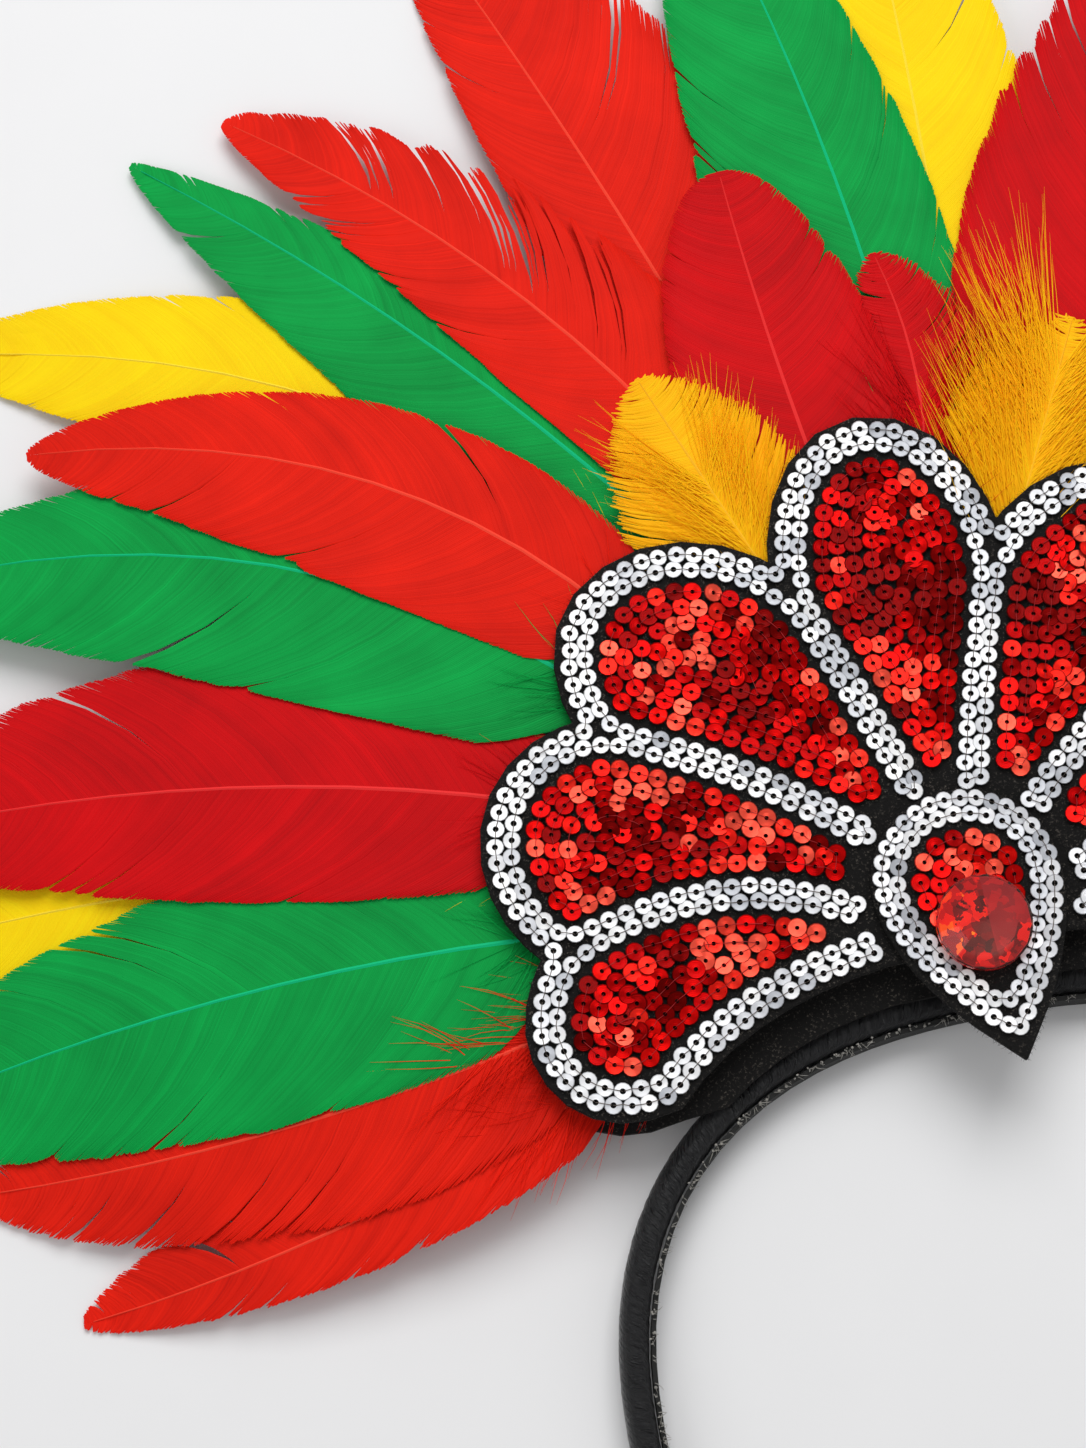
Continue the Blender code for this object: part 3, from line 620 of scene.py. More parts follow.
def inset_runs(loops: list[np.ndarray], inset: float, widest_gap: float
               ) -> list[tuple[np.ndarray, bool]]:
    """Lines that keep one distance inside a plate's edges.

    Args:
        loops: the plate's edges, with the plate on their left.
        inset: the distance.
        widest_gap: the longest jump that a line makes across a corner.

    Returns:
        Each line's points, and whether it closes on itself.
    """
    step = 0.25 * MM
    runs = []
    for line in loops:
        spans = np.roll(line, -1, axis=0) - line
        points, ways = [], []
        for start, span in zip(line, spans):
            length = np.linalg.norm(span)
            if length < 1e-7:
                continue
            number = max(1, int(length / step))
            shares = (np.arange(number) + 0.5) / number
            points.append(start + shares[:, None] * span)
            ways.append(np.tile(span / length, (number, 1)))
        points, ways = np.concatenate(points), np.concatenate(ways)
        moved = points + np.stack([-ways[:, 1], ways[:, 0]], axis=1) * inset
        moved = moved[edge_distance(moved, loops) > inset * 0.985]
        if len(moved) < 4:
            continue
        jumps = np.linalg.norm(np.roll(moved, -1, axis=0) - moved, axis=1) > widest_gap
        if not jumps.any():
            runs.append((moved, True))
            continue
        moved = np.roll(moved, -(int(np.argmax(jumps)) + 1), axis=0)
        jumps = np.linalg.norm(np.diff(moved, axis=0), axis=1) > widest_gap
        for part in np.split(moved, np.nonzero(jumps)[0] + 1):
            if len(part) > 3:
                runs.append((part, False))
    return runs


def inside(points: np.ndarray, line: np.ndarray) -> np.ndarray:
    """Whether each point lies inside a closed line."""
    first, last = line[None], np.roll(line, -1, axis=0)[None]
    across, up = points[:, :1], points[:, 1:]
    spans = (first[..., 1] > up) != (last[..., 1] > up)
    share = (up - first[..., 1]) / (last[..., 1] - first[..., 1] + 1e-18)
    meets = first[..., 0] + share * (last[..., 0] - first[..., 0])
    return (spans & (across < meets)).sum(axis=1) % 2 == 1


def paced(run: np.ndarray, closed: bool, pitch: float) -> tuple[np.ndarray, np.ndarray]:
    """Evenly spaced places along a line, and the direction of the line at each.

    Args:
        run: the line's points.
        closed: whether it closes on itself.
        pitch: the spacing to come near to.

    Returns:
        Places and unit directions.
    """
    line = np.vstack([run, run[:1]]) if closed else run
    along = np.concatenate([[0.0], np.cumsum(np.linalg.norm(np.diff(line, axis=0), axis=1))])
    number = max(1, round(along[-1] / pitch))
    marks = (np.arange(number) + 0.5) * along[-1] / number
    ahead = np.clip(marks + pitch * 0.4, 0.0, along[-1])
    behind = np.clip(marks - pitch * 0.4, 0.0, along[-1])
    spots = [np.stack([np.interp(m, along, line[:, k]) for k in (0, 1)], axis=1)
             for m in (marks, ahead, behind)]
    ways = spots[1] - spots[2]
    return spots[0], ways / (np.linalg.norm(ways, axis=1, keepdims=True) + 1e-12)


@dataclass
class SequinRows:
    """Rows of flat round sequins sewn on a plate's place, with the thread between them."""

    name: str
    nodes: tuple[str, ...]
    slot: str
    radius: float
    pitch: float
    row_pitch: float
    first_inset: float
    rows: int
    lean: float
    material: bpy.types.Material
    thread: bpy.types.Material
    thread_half: float
    seed: int
    hole: float = 0.30
    thick: float = 0.16 * MM
    jitter: float = 0.05
    lie: float = 0.40
    keep_gap: float = 0.72
    sway: float = 0.06

    def disc(self) -> tuple[np.ndarray, np.ndarray]:
        """Points and triangles of one sequin with its hole, from a spun section."""
        bm = bmesh.new()
        outline = ((self.hole, -0.5), (0.94, -0.5), (1.0, 0.0), (0.94, 0.5), (0.5, 0.32),
                   (self.hole, 0.5))
        corners = [bm.verts.new((out * self.radius, 0.0, up * self.thick)) for out, up in outline]
        edges = [bm.edges.new((corners[i - 1], corners[i])) for i in range(len(corners))]
        bmesh.ops.spin(bm, geom=corners + edges, cent=(0, 0, 0), axis=(0, 0, 1),
                       angle=math.tau, steps=14, use_merge=True)
        bmesh.ops.remove_doubles(bm, verts=bm.verts[:], dist=1e-7)
        return shape_arrays(bm)

    def spots(self, node: str) -> list[tuple[np.ndarray, np.ndarray]]:
        """Places and directions of each row of a node, kept clear of one another."""
        loops = upper_loops(node)
        taken = np.zeros((0, 2))
        rows = []
        for number in range(self.rows):
            inset = self.first_inset + number * self.row_pitch
            for run, closed in inset_runs(loops, inset, self.row_pitch * 1.3):
                places, ways = paced(run, closed, self.pitch)
                keep = []
                for index, place in enumerate(places):
                    if len(taken) and np.linalg.norm(taken - place, axis=1).min() < (
                            self.keep_gap * self.pitch):
                        continue
                    taken = np.vstack([taken, place])
                    keep.append(index)
                if keep:
                    rows.append((places[keep], ways[keep]))
        if self.rows > 1:
            corners = [np.arange(loops[0][:, k].min(), loops[0][:, k].max(), 0.5 * MM)
                       for k in (0, 1)]
            grid = np.stack(np.meshgrid(*corners), axis=-1).reshape(-1, 2)
            grid = grid[inside(grid, loops[0])]
            for place in grid[edge_distance(grid, loops) > self.radius * 0.5]:
                if np.linalg.norm(taken - place, axis=1).min() > self.pitch * 0.64:
                    taken = np.vstack([taken, place])
                    rows.append((place[None], np.array([[1.0, 0.0]])))
        return rows

    def build(self) -> bpy.types.Object:
        """Sew the sequins on and return the piece."""
        chance = random.Random(self.seed)
        bundle, stitches = Bundle(), Bundle()
        points, faces = self.disc()
        strands = Strands(4)
        reach = np.linalg.norm(points[:, :2], axis=1) / self.radius
        count = 0
        for node in self.nodes:
            low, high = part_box(node)
            level = low[2] + (high[2] - low[2]) * self.lie
            for places, ways in self.spots(node):
                centres = []
                for place, way in zip(places, ways):
                    spot = Vector((place[0], place[1], level))
                    spot.x += chance.gauss(0.0, self.jitter) * self.radius
                    spot.y += chance.gauss(0.0, self.jitter) * self.radius
                    yaw = math.atan2(way[1], way[0])
                    tilt = Matrix.Rotation(-self.lean + chance.gauss(0.0, self.sway), 4, "Y")
                    roll = Matrix.Rotation(chance.gauss(0.0, self.sway), 4, "X")
                    turn = Matrix.Rotation(yaw, 4, "Z")
                    matrix = np.array(Matrix.Translation(spot) @ turn @ tilt @ roll)
                    laid = points @ matrix[:3, :3].T + matrix[:3, 3]
                    # painted highlight: patchy noise and chance pick how brightly each sequin is
                    # painted as catching the light
                    glint = 0.5 + 0.9 * noise.noise(spot * 90.0 + Vector((self.seed, 0, 0)))
                    glint = min(1.0, max(0.0, glint + chance.gauss(0.0, 0.28)))
                    flat = points[:, :2] / self.radius * 0.5 + 0.5
                    values = {"glint": np.full((1, len(points)), glint), "reach": reach[None]}
                    bundle.add(laid[None], faces, flat[None], values)
                    centres.append(spot)
                    count += 1
                self._stitch(stitches, strands, centres, chance)
        piece = bundle.build(self.name, self.material)
        finish_piece(piece, self.slot, *self.nodes)
        if stitches.count:
            sewn = stitches.build(self.name + "_thread", self.thread, smooth=True)
            finish_piece(sewn, self.slot)
        LOG.info("%s: %d sequins", self.name, count)
        return piece

    def _stitch(self, bundle: Bundle, strands: Strands, centres: list[Vector],
                chance: random.Random) -> None:
        """Run the thread over the sequins from each hole to the next."""
        paths = []
        over = self.thick * 0.5 + self.thread_half
        for here, there in zip(centres, centres[1:]):
            if (there - here).length > self.pitch * 1.5:
                continue
            stray = Vector((chance.gauss(0, 0.06), chance.gauss(0, 0.06), 0.0)) * self.radius
            rise = math.sin(self.lean) * self.radius
            middle = here.lerp(there, 0.5) + stray + Vector((0, 0, over + rise + 0.0001))
            start = here + Vector((0, 0, -self.thick))
            early = here.lerp(there, 0.16) + Vector((0, 0, over + rise * 0.3))
            end = here.lerp(there, 0.93) + Vector((0, 0, over * 0.6))
            paths.append([start, early, middle, end])
        if paths:
            number = len(paths)
            strands.lay(bundle, np.array(paths), np.full((number, 4), self.thread_half),
                        self.thread_half * 1.6, np.zeros(number), np.arange(number) * 0.1, {})


@dataclass(frozen=True)
class Feather:
    """One feather of the part: its place, its form and how it is worn."""

    name: str
    dye: Dye
    root: float
    tip: float
    reach: float
    bow: float
    up: float
    low: float
    blunt: float
    both: bool
    fluff: float = 0.0
    ragged: float = 0.0


# Feathers in laying order, with the angles and shares that the part has for them. Fluff
# loosens the barbs, and ragged splits the upper edge.
FEATHERS = [
    # name, dye, root, tip, reach, bow, up, low, blunt, both sides, fluff, ragged
    Feather("yellow_upper", Dye.YELLOW, 33.0, 49.2, 1.020, 0.115, 0.80, 0.90, 0.50, True),
    Feather("yellow_lower", Dye.YELLOW, 76.0, 81.5, 0.930, 0.040, 0.75, 0.90, 0.60, True),
    Feather("red_bottom", Dye.RED, 105.5, 104.6, 0.815, -0.045, 0.70, 0.40, 0.60, True, 0.1, 0.6),
    Feather("red_back", Dye.RED, 9.5, 15.2, 1.050, 0.015, 1.45, 0.75, 0.40, False, 0.05),
    Feather("yellow_top", Dye.YELLOW, -15.5, -8.0, 1.010, 0.020, 1.05, 0.70, 0.45, False),
    Feather("red_low", Dye.RED, 97.0, 95.6, 0.860, -0.040, 0.80, 0.85, 0.55, True, 0.1, 0.7),
    Feather("green_upper", Dye.GREEN, 24.0, 35.4, 0.995, 0.036, 0.45, 0.80, 0.70, True, 0.0, 0.3),
    Feather("green_top", Dye.GREEN, -10.8, 0.6, 1.000, 0.030, 0.75, 1.15, 0.45, False),
    Feather("red_upper_left", Dye.RED, 14.0, 30.3, 0.965, 0.065, 0.88, 0.66, 0.60, False, 0.0, 1.0),
    Feather("red_upper_right", Dye.CRIMSON, -29.5, -26.8, 0.985, -0.012, 0.80, 1.35, 0.50, False),
    Feather("green_low", Dye.GREEN, 86.0, 90.5, 0.945, 0.040, 0.95, 1.10, 0.50, True, 0.0, 0.2),
    Feather("red_inner", Dye.CRIMSON, -4.0, -5.5, 0.575, 0.085, 0.70, 0.60, 0.60, False, 0.3, 0.4),
    Feather("red_side", Dye.CRIMSON, 66.5, 75.4, 0.935, 0.050, 1.15, 0.95, 0.50, True),
    Feather("red_front", Dye.CRIMSON, 5.0, 5.2, 0.680, -0.018, 0.90, 0.90, 0.45, False),
    Feather("green_side", Dye.GREEN, 52.0, 62.0, 0.965, 0.120, 0.75, 1.10, 0.50, True),
    Feather("red_shoulder", Dye.RED, 41.5, 52.6, 0.895, 0.125, 0.68, 0.92, 0.60, True),
    Feather("orange_left", Dye.ORANGE, 18.8, 19.5, 0.525, 0.0, 0.75, 0.80, 0.60, False, 0.35),
    Feather("orange_right", Dye.ORANGE, -20.3, -24.0, 0.520, 0.0, 0.80, 0.75, 0.60, False, 0.7),
]
TIP_JITTER = 1.6
REACH_JITTER = 0.015


def both_sides() -> list[Feather]:
    """Every feather by its full name, the mirrored ones with the part's small changes."""
    rows = []
    for number, row in enumerate(FEATHERS):
        if not row.both:
            rows.append(row)
            continue
        chance = random.Random(number)
        keep = row.__dict__
        rows.append(Feather(**{**keep, "name": row.name + "_left"}))
        turn = chance.uniform(-TIP_JITTER, TIP_JITTER)
        reach = row.reach * (1.0 + chance.uniform(-REACH_JITTER, REACH_JITTER))
        change = {"name": row.name + "_right", "root": -row.root, "tip": -row.tip + turn,
                  "reach": reach, "bow": -row.bow, "up": row.low, "low": row.up}
        rows.append(Feather(**{**keep, **change}))
    return rows


@dataclass
class Plume:
    """All feathers, whose barbs are laid on the part's vanes."""

    centre_y: float = 0.0175
    start_reach: float = 0.054
    reach: float = 0.200
    half: float = 0.020
    vane_start: float = 0.008
    root_half: float = 0.0016
    tip_half: float = 0.0006
    opening: float = 0.014
    slant: float = 0.35
    thick: float = 0.00025
    gap: float = 0.0003
    level: float = 0.0101
    fan_reach: float = 0.080
    droop_power: float = 1.6
    floor_reach: float = 0.197
    floor_side: float = 0.158
    side_angle: float = 106.0
    spread: float = 0.8
    barb_pitch: float = 0.36 * MM

    def midrib(self, row: Feather, share: np.ndarray) -> tuple[np.ndarray, np.ndarray]:
        """Points and directions of the stem in plan, about the fan's centre."""
        ends = []
        for angle, reach in ((row.root, self.start_reach), (row.tip, row.reach * self.reach)):
            turn = math.radians(angle)
            ends.append(np.array([-math.sin(turn) * reach, math.cos(turn) * reach]))
        first, last = ends
        span = last - first
        length = float(np.linalg.norm(span))
        way = span / length
        bend = (first + last) / 2 + np.array([way[1], -way[0]]) * 2.0 * row.bow * length
        s = share[:, None]
        points = (1 - s) ** 2 * first + 2 * (1 - s) * s * bend + s ** 2 * last
        ways = (1 - s) * (bend - first) + s * (last - bend)
        return points, ways / np.linalg.norm(ways, axis=1, keepdims=True)

    def length(self, row: Feather) -> float:
        """Straight length from the quill's end to the tip."""
        ends, _ = self.midrib(row, np.array([0.0, 1.0]))
        return float(np.linalg.norm(ends[1] - ends[0]))

    def half_width(self, row: Feather, share: np.ndarray, side: float) -> np.ndarray:
        """Width of the vane on one side of the stem."""
        start = self.vane_start / self.length(row)
        half = (row.up if side > 0 else row.low) * self.half
        form = np.maximum(0.0, np.sin(np.pi * np.minimum(1.0, share ** 0.85))) ** row.blunt
        opening = np.clip((share - start) * self.length(row) / self.opening, 0.0, 1.0)
        stem = self.root_half + (self.tip_half - self.root_half) * share
        return stem + half * form * opening

    def edge(self, row: Feather, share: np.ndarray, side: float) -> np.ndarray:
        """Points of the vane's edge on one side, about the fan's centre."""
        points, ways = self.midrib(row, share)
        start = self.vane_start / self.length(row)
        opening = np.clip((share - start) * self.length(row) / self.opening, 0.0, 1.0)
        width = self.half_width(row, share, side)
        across = np.stack([ways[:, 1], -ways[:, 0]], axis=1) * side
        forward = (self.slant * width * (1.0 - share) * opening)[:, None]
        return points + across * width[:, None] + ways * forward

    def layer(self, row: Feather) -> int:
        """Layer that the part lays the feather in, read from its vane's height."""
        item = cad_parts["feather_" + row.name]
        points = np.array([item.matrix_world @ v.co for v in item.data.vertices])
        reach = np.hypot(points[:, 0], points[:, 1] - self.centre_y)
        near = points[(reach > 0.0625) & (reach < self.fan_reach - 0.001)]
        middle = np.median(near[:, 2]) - self.level - self.thick / 2
        return int(round(middle / (self.thick + self.gap)))

    def drape(self, points: np.ndarray, layer: int) -> np.ndarray:
        """Height of the vane's middle at points about the fan's centre."""
        angle = np.abs(np.degrees(np.arctan2(-points[..., 0], points[..., 1])))
        side = np.minimum(1.0, angle / self.side_angle) ** 3
        floor = self.floor_reach + (self.floor_side - self.floor_reach) * side
        reach = np.hypot(points[..., 0], points[..., 1])
        share = np.clip((reach - self.fan_reach) / (floor - self.fan_reach), 0.0, 1.0)
        level = self.level * (1.0 - share ** self.droop_power) + self.thick / 2
        return level + layer * (self.thick + self.gap) * (1.0 + self.spread * share)

    def barbs(self, bundle: Bundle, row: Feather, layer: int, side: float,
              chance: np.random.Generator) -> None:
        """Lay the barbs of one side of a feather.

        Args:
            bundle: the feather's mesh.
            row: the feather.
            layer: its layer in the stack.
            side: 1 for the stem's right side, -1 for its left.
            chance: source of small irregularities.
        """
        length = self.length(row)
        start = self.vane_start / length
        number = int(length * (1.0 - start) / self.barb_pitch * (1.0 + 0.7 * row.fluff))
        roots = start + (1.0 - start) * (np.arange(number) + 0.5) / number
        zone = (0.36, 0.80) if row.ragged > 0.5 else (start + 0.15, 0.93)
        ragged = row.ragged if (side > 0) == (row.tip > 0) else row.ragged * 0.3
        broad = (row.up if side > 0 else row.low)
        lead = (1.0 - roots) * (0.10 + 0.40 * roots) * (0.6 + 0.5 * broad)
        lead *= np.clip((roots - start) / 0.10, 0.15, 1.0)
        shift = np.zeros(number)
        trim = np.ones(number)
        for _ in range(4 + int(20 * ragged)):
            at = chance.uniform(*zone)
            size = chance.uniform(0.001, 0.005) * (1.0 + 2.0 * ragged)
            reach = chance.uniform(0.010, 0.035) * (1.0 - 0.5 * ragged)
            near = np.exp(-np.abs(roots - at) / reach)
            shift += size * np.sign(roots - at) * near
            trim -= chance.uniform(0.01, 0.07) * (1.0 + ragged) * np.exp(
                -np.abs(roots - at) / (reach * 0.5))
        wander = np.interp(roots, np.linspace(0, 1, 40), chance.normal(0.0, 1.0, 40))
        trim += wander * (0.010 + 0.02 * ragged) - np.abs(chance.normal(0.0, 0.008, number))
        shift += chance.normal(0.0, 0.0008 + 0.012 * row.fluff, number)
        ends = np.clip(roots + lead + shift, start, 1.0)
        foot, ways = self.midrib(row, roots)
        tips = self.edge(row, ends, side)
        across = np.stack([ways[:, 1], -ways[:, 0]], axis=1) * side
        span = np.linalg.norm(tips - foot, axis=1, keepdims=True)
        bend = foot + (tips - foot) * 0.5 + across * span * 0.11 - ways * span * 0.11
        trim = np.clip(trim + row.fluff * chance.normal(0.0, 0.10, number), 0.45, 1.06)
        t = np.array([0.0, 0.25, 0.52, 0.80, 1.0])[None, :, None] * trim[:, None, None]
        plan = ((1 - t) ** 2 * foot[:, None] + 2 * (1 - t) * t * bend[:, None]
                + t ** 2 * tips[:, None])
        loose = row.fluff * chance.normal(0.0, 0.0006, (number, 1, 2))
        plan = plan + loose * t ** 2
        height = self.drape(plan, layer)
        wave = np.sin(roots * 17.0 + row.tip) * 0.12 * MM + np.interp(
            roots, np.linspace(0, 1, 22), chance.normal(0.0, (0.05 + 0.3 * ragged) * MM, 22))
        t1 = t[..., 0]
        height = height + wave[:, None] * t1 ** 1.5 + (0.10 * MM) * (1 - t1 ** 2)
        height = height + row.fluff * np.abs(chance.normal(0.0, 0.35 * MM, (number, 1))) * t1
        height = np.maximum(height, 0.15 * MM)
        paths = np.concatenate([plan, height[..., None]], axis=2)
        paths[..., 1] += self.centre_y
        taper = np.array([0.74, 0.74, 0.74, 0.68, 0.26])[None] * self.barb_pitch
        widths = np.broadcast_to(taper, (number, 5)) * (1.0 - 0.30 * row.fluff)
        rolls = chance.normal(0.05 * side, 0.04 + 0.1 * row.fluff, number)
        clump = np.interp(roots, np.linspace(0, 1, 60), chance.normal(0.0, 1.0, 60))
        shade = 0.58 + 0.05 * clump + chance.normal(0.0, 0.06 + 0.08 * row.fluff, number)
        # painted shade: barbs near the vane's foot are painted darker, as if shaded by the felt and
        # the feathers above
        shade -= 0.35 * np.clip(1.0 - (roots - start) / 0.12, 0.0, 1.0)
        values = {"shade": np.clip(shade, 0.0, 1.0), "stem": np.zeros(number)}
        self.strands.lay(bundle, paths, widths, 0.05 * MM, rolls, roots, values)

    def down(self, bundle: Bundle, row: Feather, layer: int, chance: np.random.Generator) -> None:
        """Lay the loose downy barbs at the foot of the vane."""
        number = int(60 + 1100 * row.fluff)
        length = self.length(row)
        share = chance.uniform(0.02, min(0.80, 0.16 + 1.2 * row.fluff), number)
        foot, ways = self.midrib(row, share)
        side = chance.choice([-1.0, 1.0], number)
        angle = chance.uniform(0.35, 1.15, number) * side
        turned = np.stack([ways[:, 0] * np.cos(angle) + ways[:, 1] * np.sin(angle),
                           ways[:, 1] * np.cos(angle) - ways[:, 0] * np.sin(angle)], axis=1)
        reach = chance.uniform(0.06, 0.13, number)[:, None] * max(length, 0.1) * (
            1.0 + 2.2 * row.fluff)
        t = np.linspace(0.0, 1.0, 5)[None, :, None]
        bend = foot + turned * reach * 0.5 + chance.normal(0.0, 0.0012, (number, 2))
        tips = foot + turned * reach * 0.9 + ways * reach * 0.25
        plan = ((1 - t) ** 2 * foot[:, None] + 2 * (1 - t) * t * bend[:, None]
                + t ** 2 * tips[:, None])
        lift = np.abs(chance.normal(0.5, 0.5 + row.fluff, (number, 1))) * MM
        height = self.drape(plan, layer) + 0.2 * MM + lift * t[..., 0]
        paths = np.concatenate([plan, height[..., None]], axis=2)
        paths[..., 1] += self.centre_y
        widths = np.array([0.09, 0.08, 0.06, 0.045, 0.015])[None] * MM * np.ones((number, 1))
        values = {"shade": chance.uniform(0.45, 0.95, number), "stem": np.zeros(number)}
        self.strands.lay(bundle, paths, widths, 0.03 * MM, np.zeros(number), share, values)

    def stem(self, bundle: Bundle, row: Feather, layer: int) -> None:
        """Lay the stem, thick at the felt and fine at the tip."""
        share = np.linspace(0.0, 0.985, 14)
        points, _ = self.midrib(row, share)
        height = self.drape(points, layer) + 0.16 * MM
        paths = np.concatenate([points, height[:, None]], axis=1)[None]
        paths[..., 1] += self.centre_y
        widths = (0.34 * (1.0 - share) ** 0.8 + 0.09)[None] * MM
        values = {"shade": np.array([0.7]), "stem": np.array([1.0])}
        self.stems.lay(bundle, paths, widths, 0.15 * MM, np.zeros(1), np.zeros(1), values)

    def build(self) -> None:
        """Build every feather in place of its node."""
        self.strands = Strands(5)
        self.stems = Strands(14)
        finishes = {dye: dye.value[1].make() for dye in Dye}
        for seed, row in enumerate(both_sides()):
            chance = np.random.default_rng(1000 + seed)
            bundle = Bundle()
            layer = self.layer(row)
            for side in (-1.0, 1.0):
                self.barbs(bundle, row, layer, side, chance)
            self.down(bundle, row, layer, chance)
            self.stem(bundle, row, layer)
            piece = bundle.build("plume_" + row.name, finishes[row.dye], smooth=False)
            finish_piece(piece, row.dye.value[0], "feather_" + row.name)


@dataclass
class FeltWork:
    """The two fan felts and the plaque's felt, with rounded edges and loose fibres."""

    rounding: float = 0.35 * MM
    fibre_pitch: float = 0.30 * MM
    fibre_reach: tuple[float, float] = (0.25 * MM, 0.95 * MM)

    def rounded_copy(self, node: str) -> bmesh.types.BMesh:
        """Copy of a node with its triangles merged into flat faces and its rims rounded."""
        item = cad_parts[node]
        bm = bmesh.new()
        bm.from_mesh(item.data)
        bm.transform(item.matrix_world)
        bmesh.ops.remove_doubles(bm, verts=bm.verts[:], dist=1e-6)
        bmesh.ops.dissolve_limit(bm, angle_limit=math.radians(0.5), verts=bm.verts[:],
                                 edges=bm.edges[:])
        rims = [e for e in bm.edges if len(e.link_faces) == 2
                and e.calc_face_angle() > math.radians(60.0)]
        bmesh.ops.bevel(bm, geom=rims, offset=self.rounding, offset_type="OFFSET", segments=2,
                        profile=0.5, affect="EDGES", material=-1, clamp_overlap=True)
        bmesh.ops.triangulate(bm, faces=bm.faces[:])
        return bm

    def fibres(self, node: str, seed: int, name: str, material: bpy.types.Material) -> None:
        """Loose fibres along the felt's rim."""
        chance = np.random.default_rng(seed)
        low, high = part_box(node)
        bundle = Bundle()
        strands = Strands(4)
        for loop in upper_loops(node)[:1]:
            places, ways = paced(loop, True, self.fibre_pitch)
            number = len(places)
            out = np.stack([ways[:, 1], -ways[:, 0]], axis=1)
            skew = chance.normal(0.0, 0.7, number)[:, None]
            way = out + ways * skew
            way /= np.linalg.norm(way, axis=1, keepdims=True)
            reach = chance.uniform(*self.fibre_reach, number)[:, None]
            height = low[2] + (high[2] - low[2]) * chance.uniform(0.1, 1.0, number)
            t = np.array([0.0, 0.35, 0.7, 1.0])[None, :, None]
            curl = ways * chance.normal(0.0, 0.35, number)[:, None] * reach
            plan = (places - out * 0.15 * MM)[:, None] + way[:, None] * reach[:, None] * t \
                + curl[:, None] * t ** 2
            rise = height[:, None] + chance.normal(0.0, 0.22 * MM, number)[:, None] * t[..., 0]
            paths = np.concatenate([plan, np.maximum(rise, 0.0002)[..., None]], axis=2)
            widths = np.array([0.030, 0.024, 0.018, 0.006])[None] * MM * np.ones((number, 1))
            strands.lay(bundle, paths, widths, 0.025 * MM, np.zeros(number),
                        np.arange(number) * 0.01, {})
        finish_piece(bundle.build(name, material, smooth=True), "black_felt")

    def build(self) -> None:
        """Build the felts in place of their nodes."""
        nap = FeltFinish().make()
        names = {"fan_back_felt": "back_felt", "fan_front_felt": "front_felt",
                 "plaque_felt": "teardrop_felt"}
        for seed, (node, name) in enumerate(names.items()):
            piece = object_from(self.rounded_copy(node), name, nap)
            finish_piece(piece, "black_felt", node)
            self.fibres(node, seed, name + "_fibres", nap)


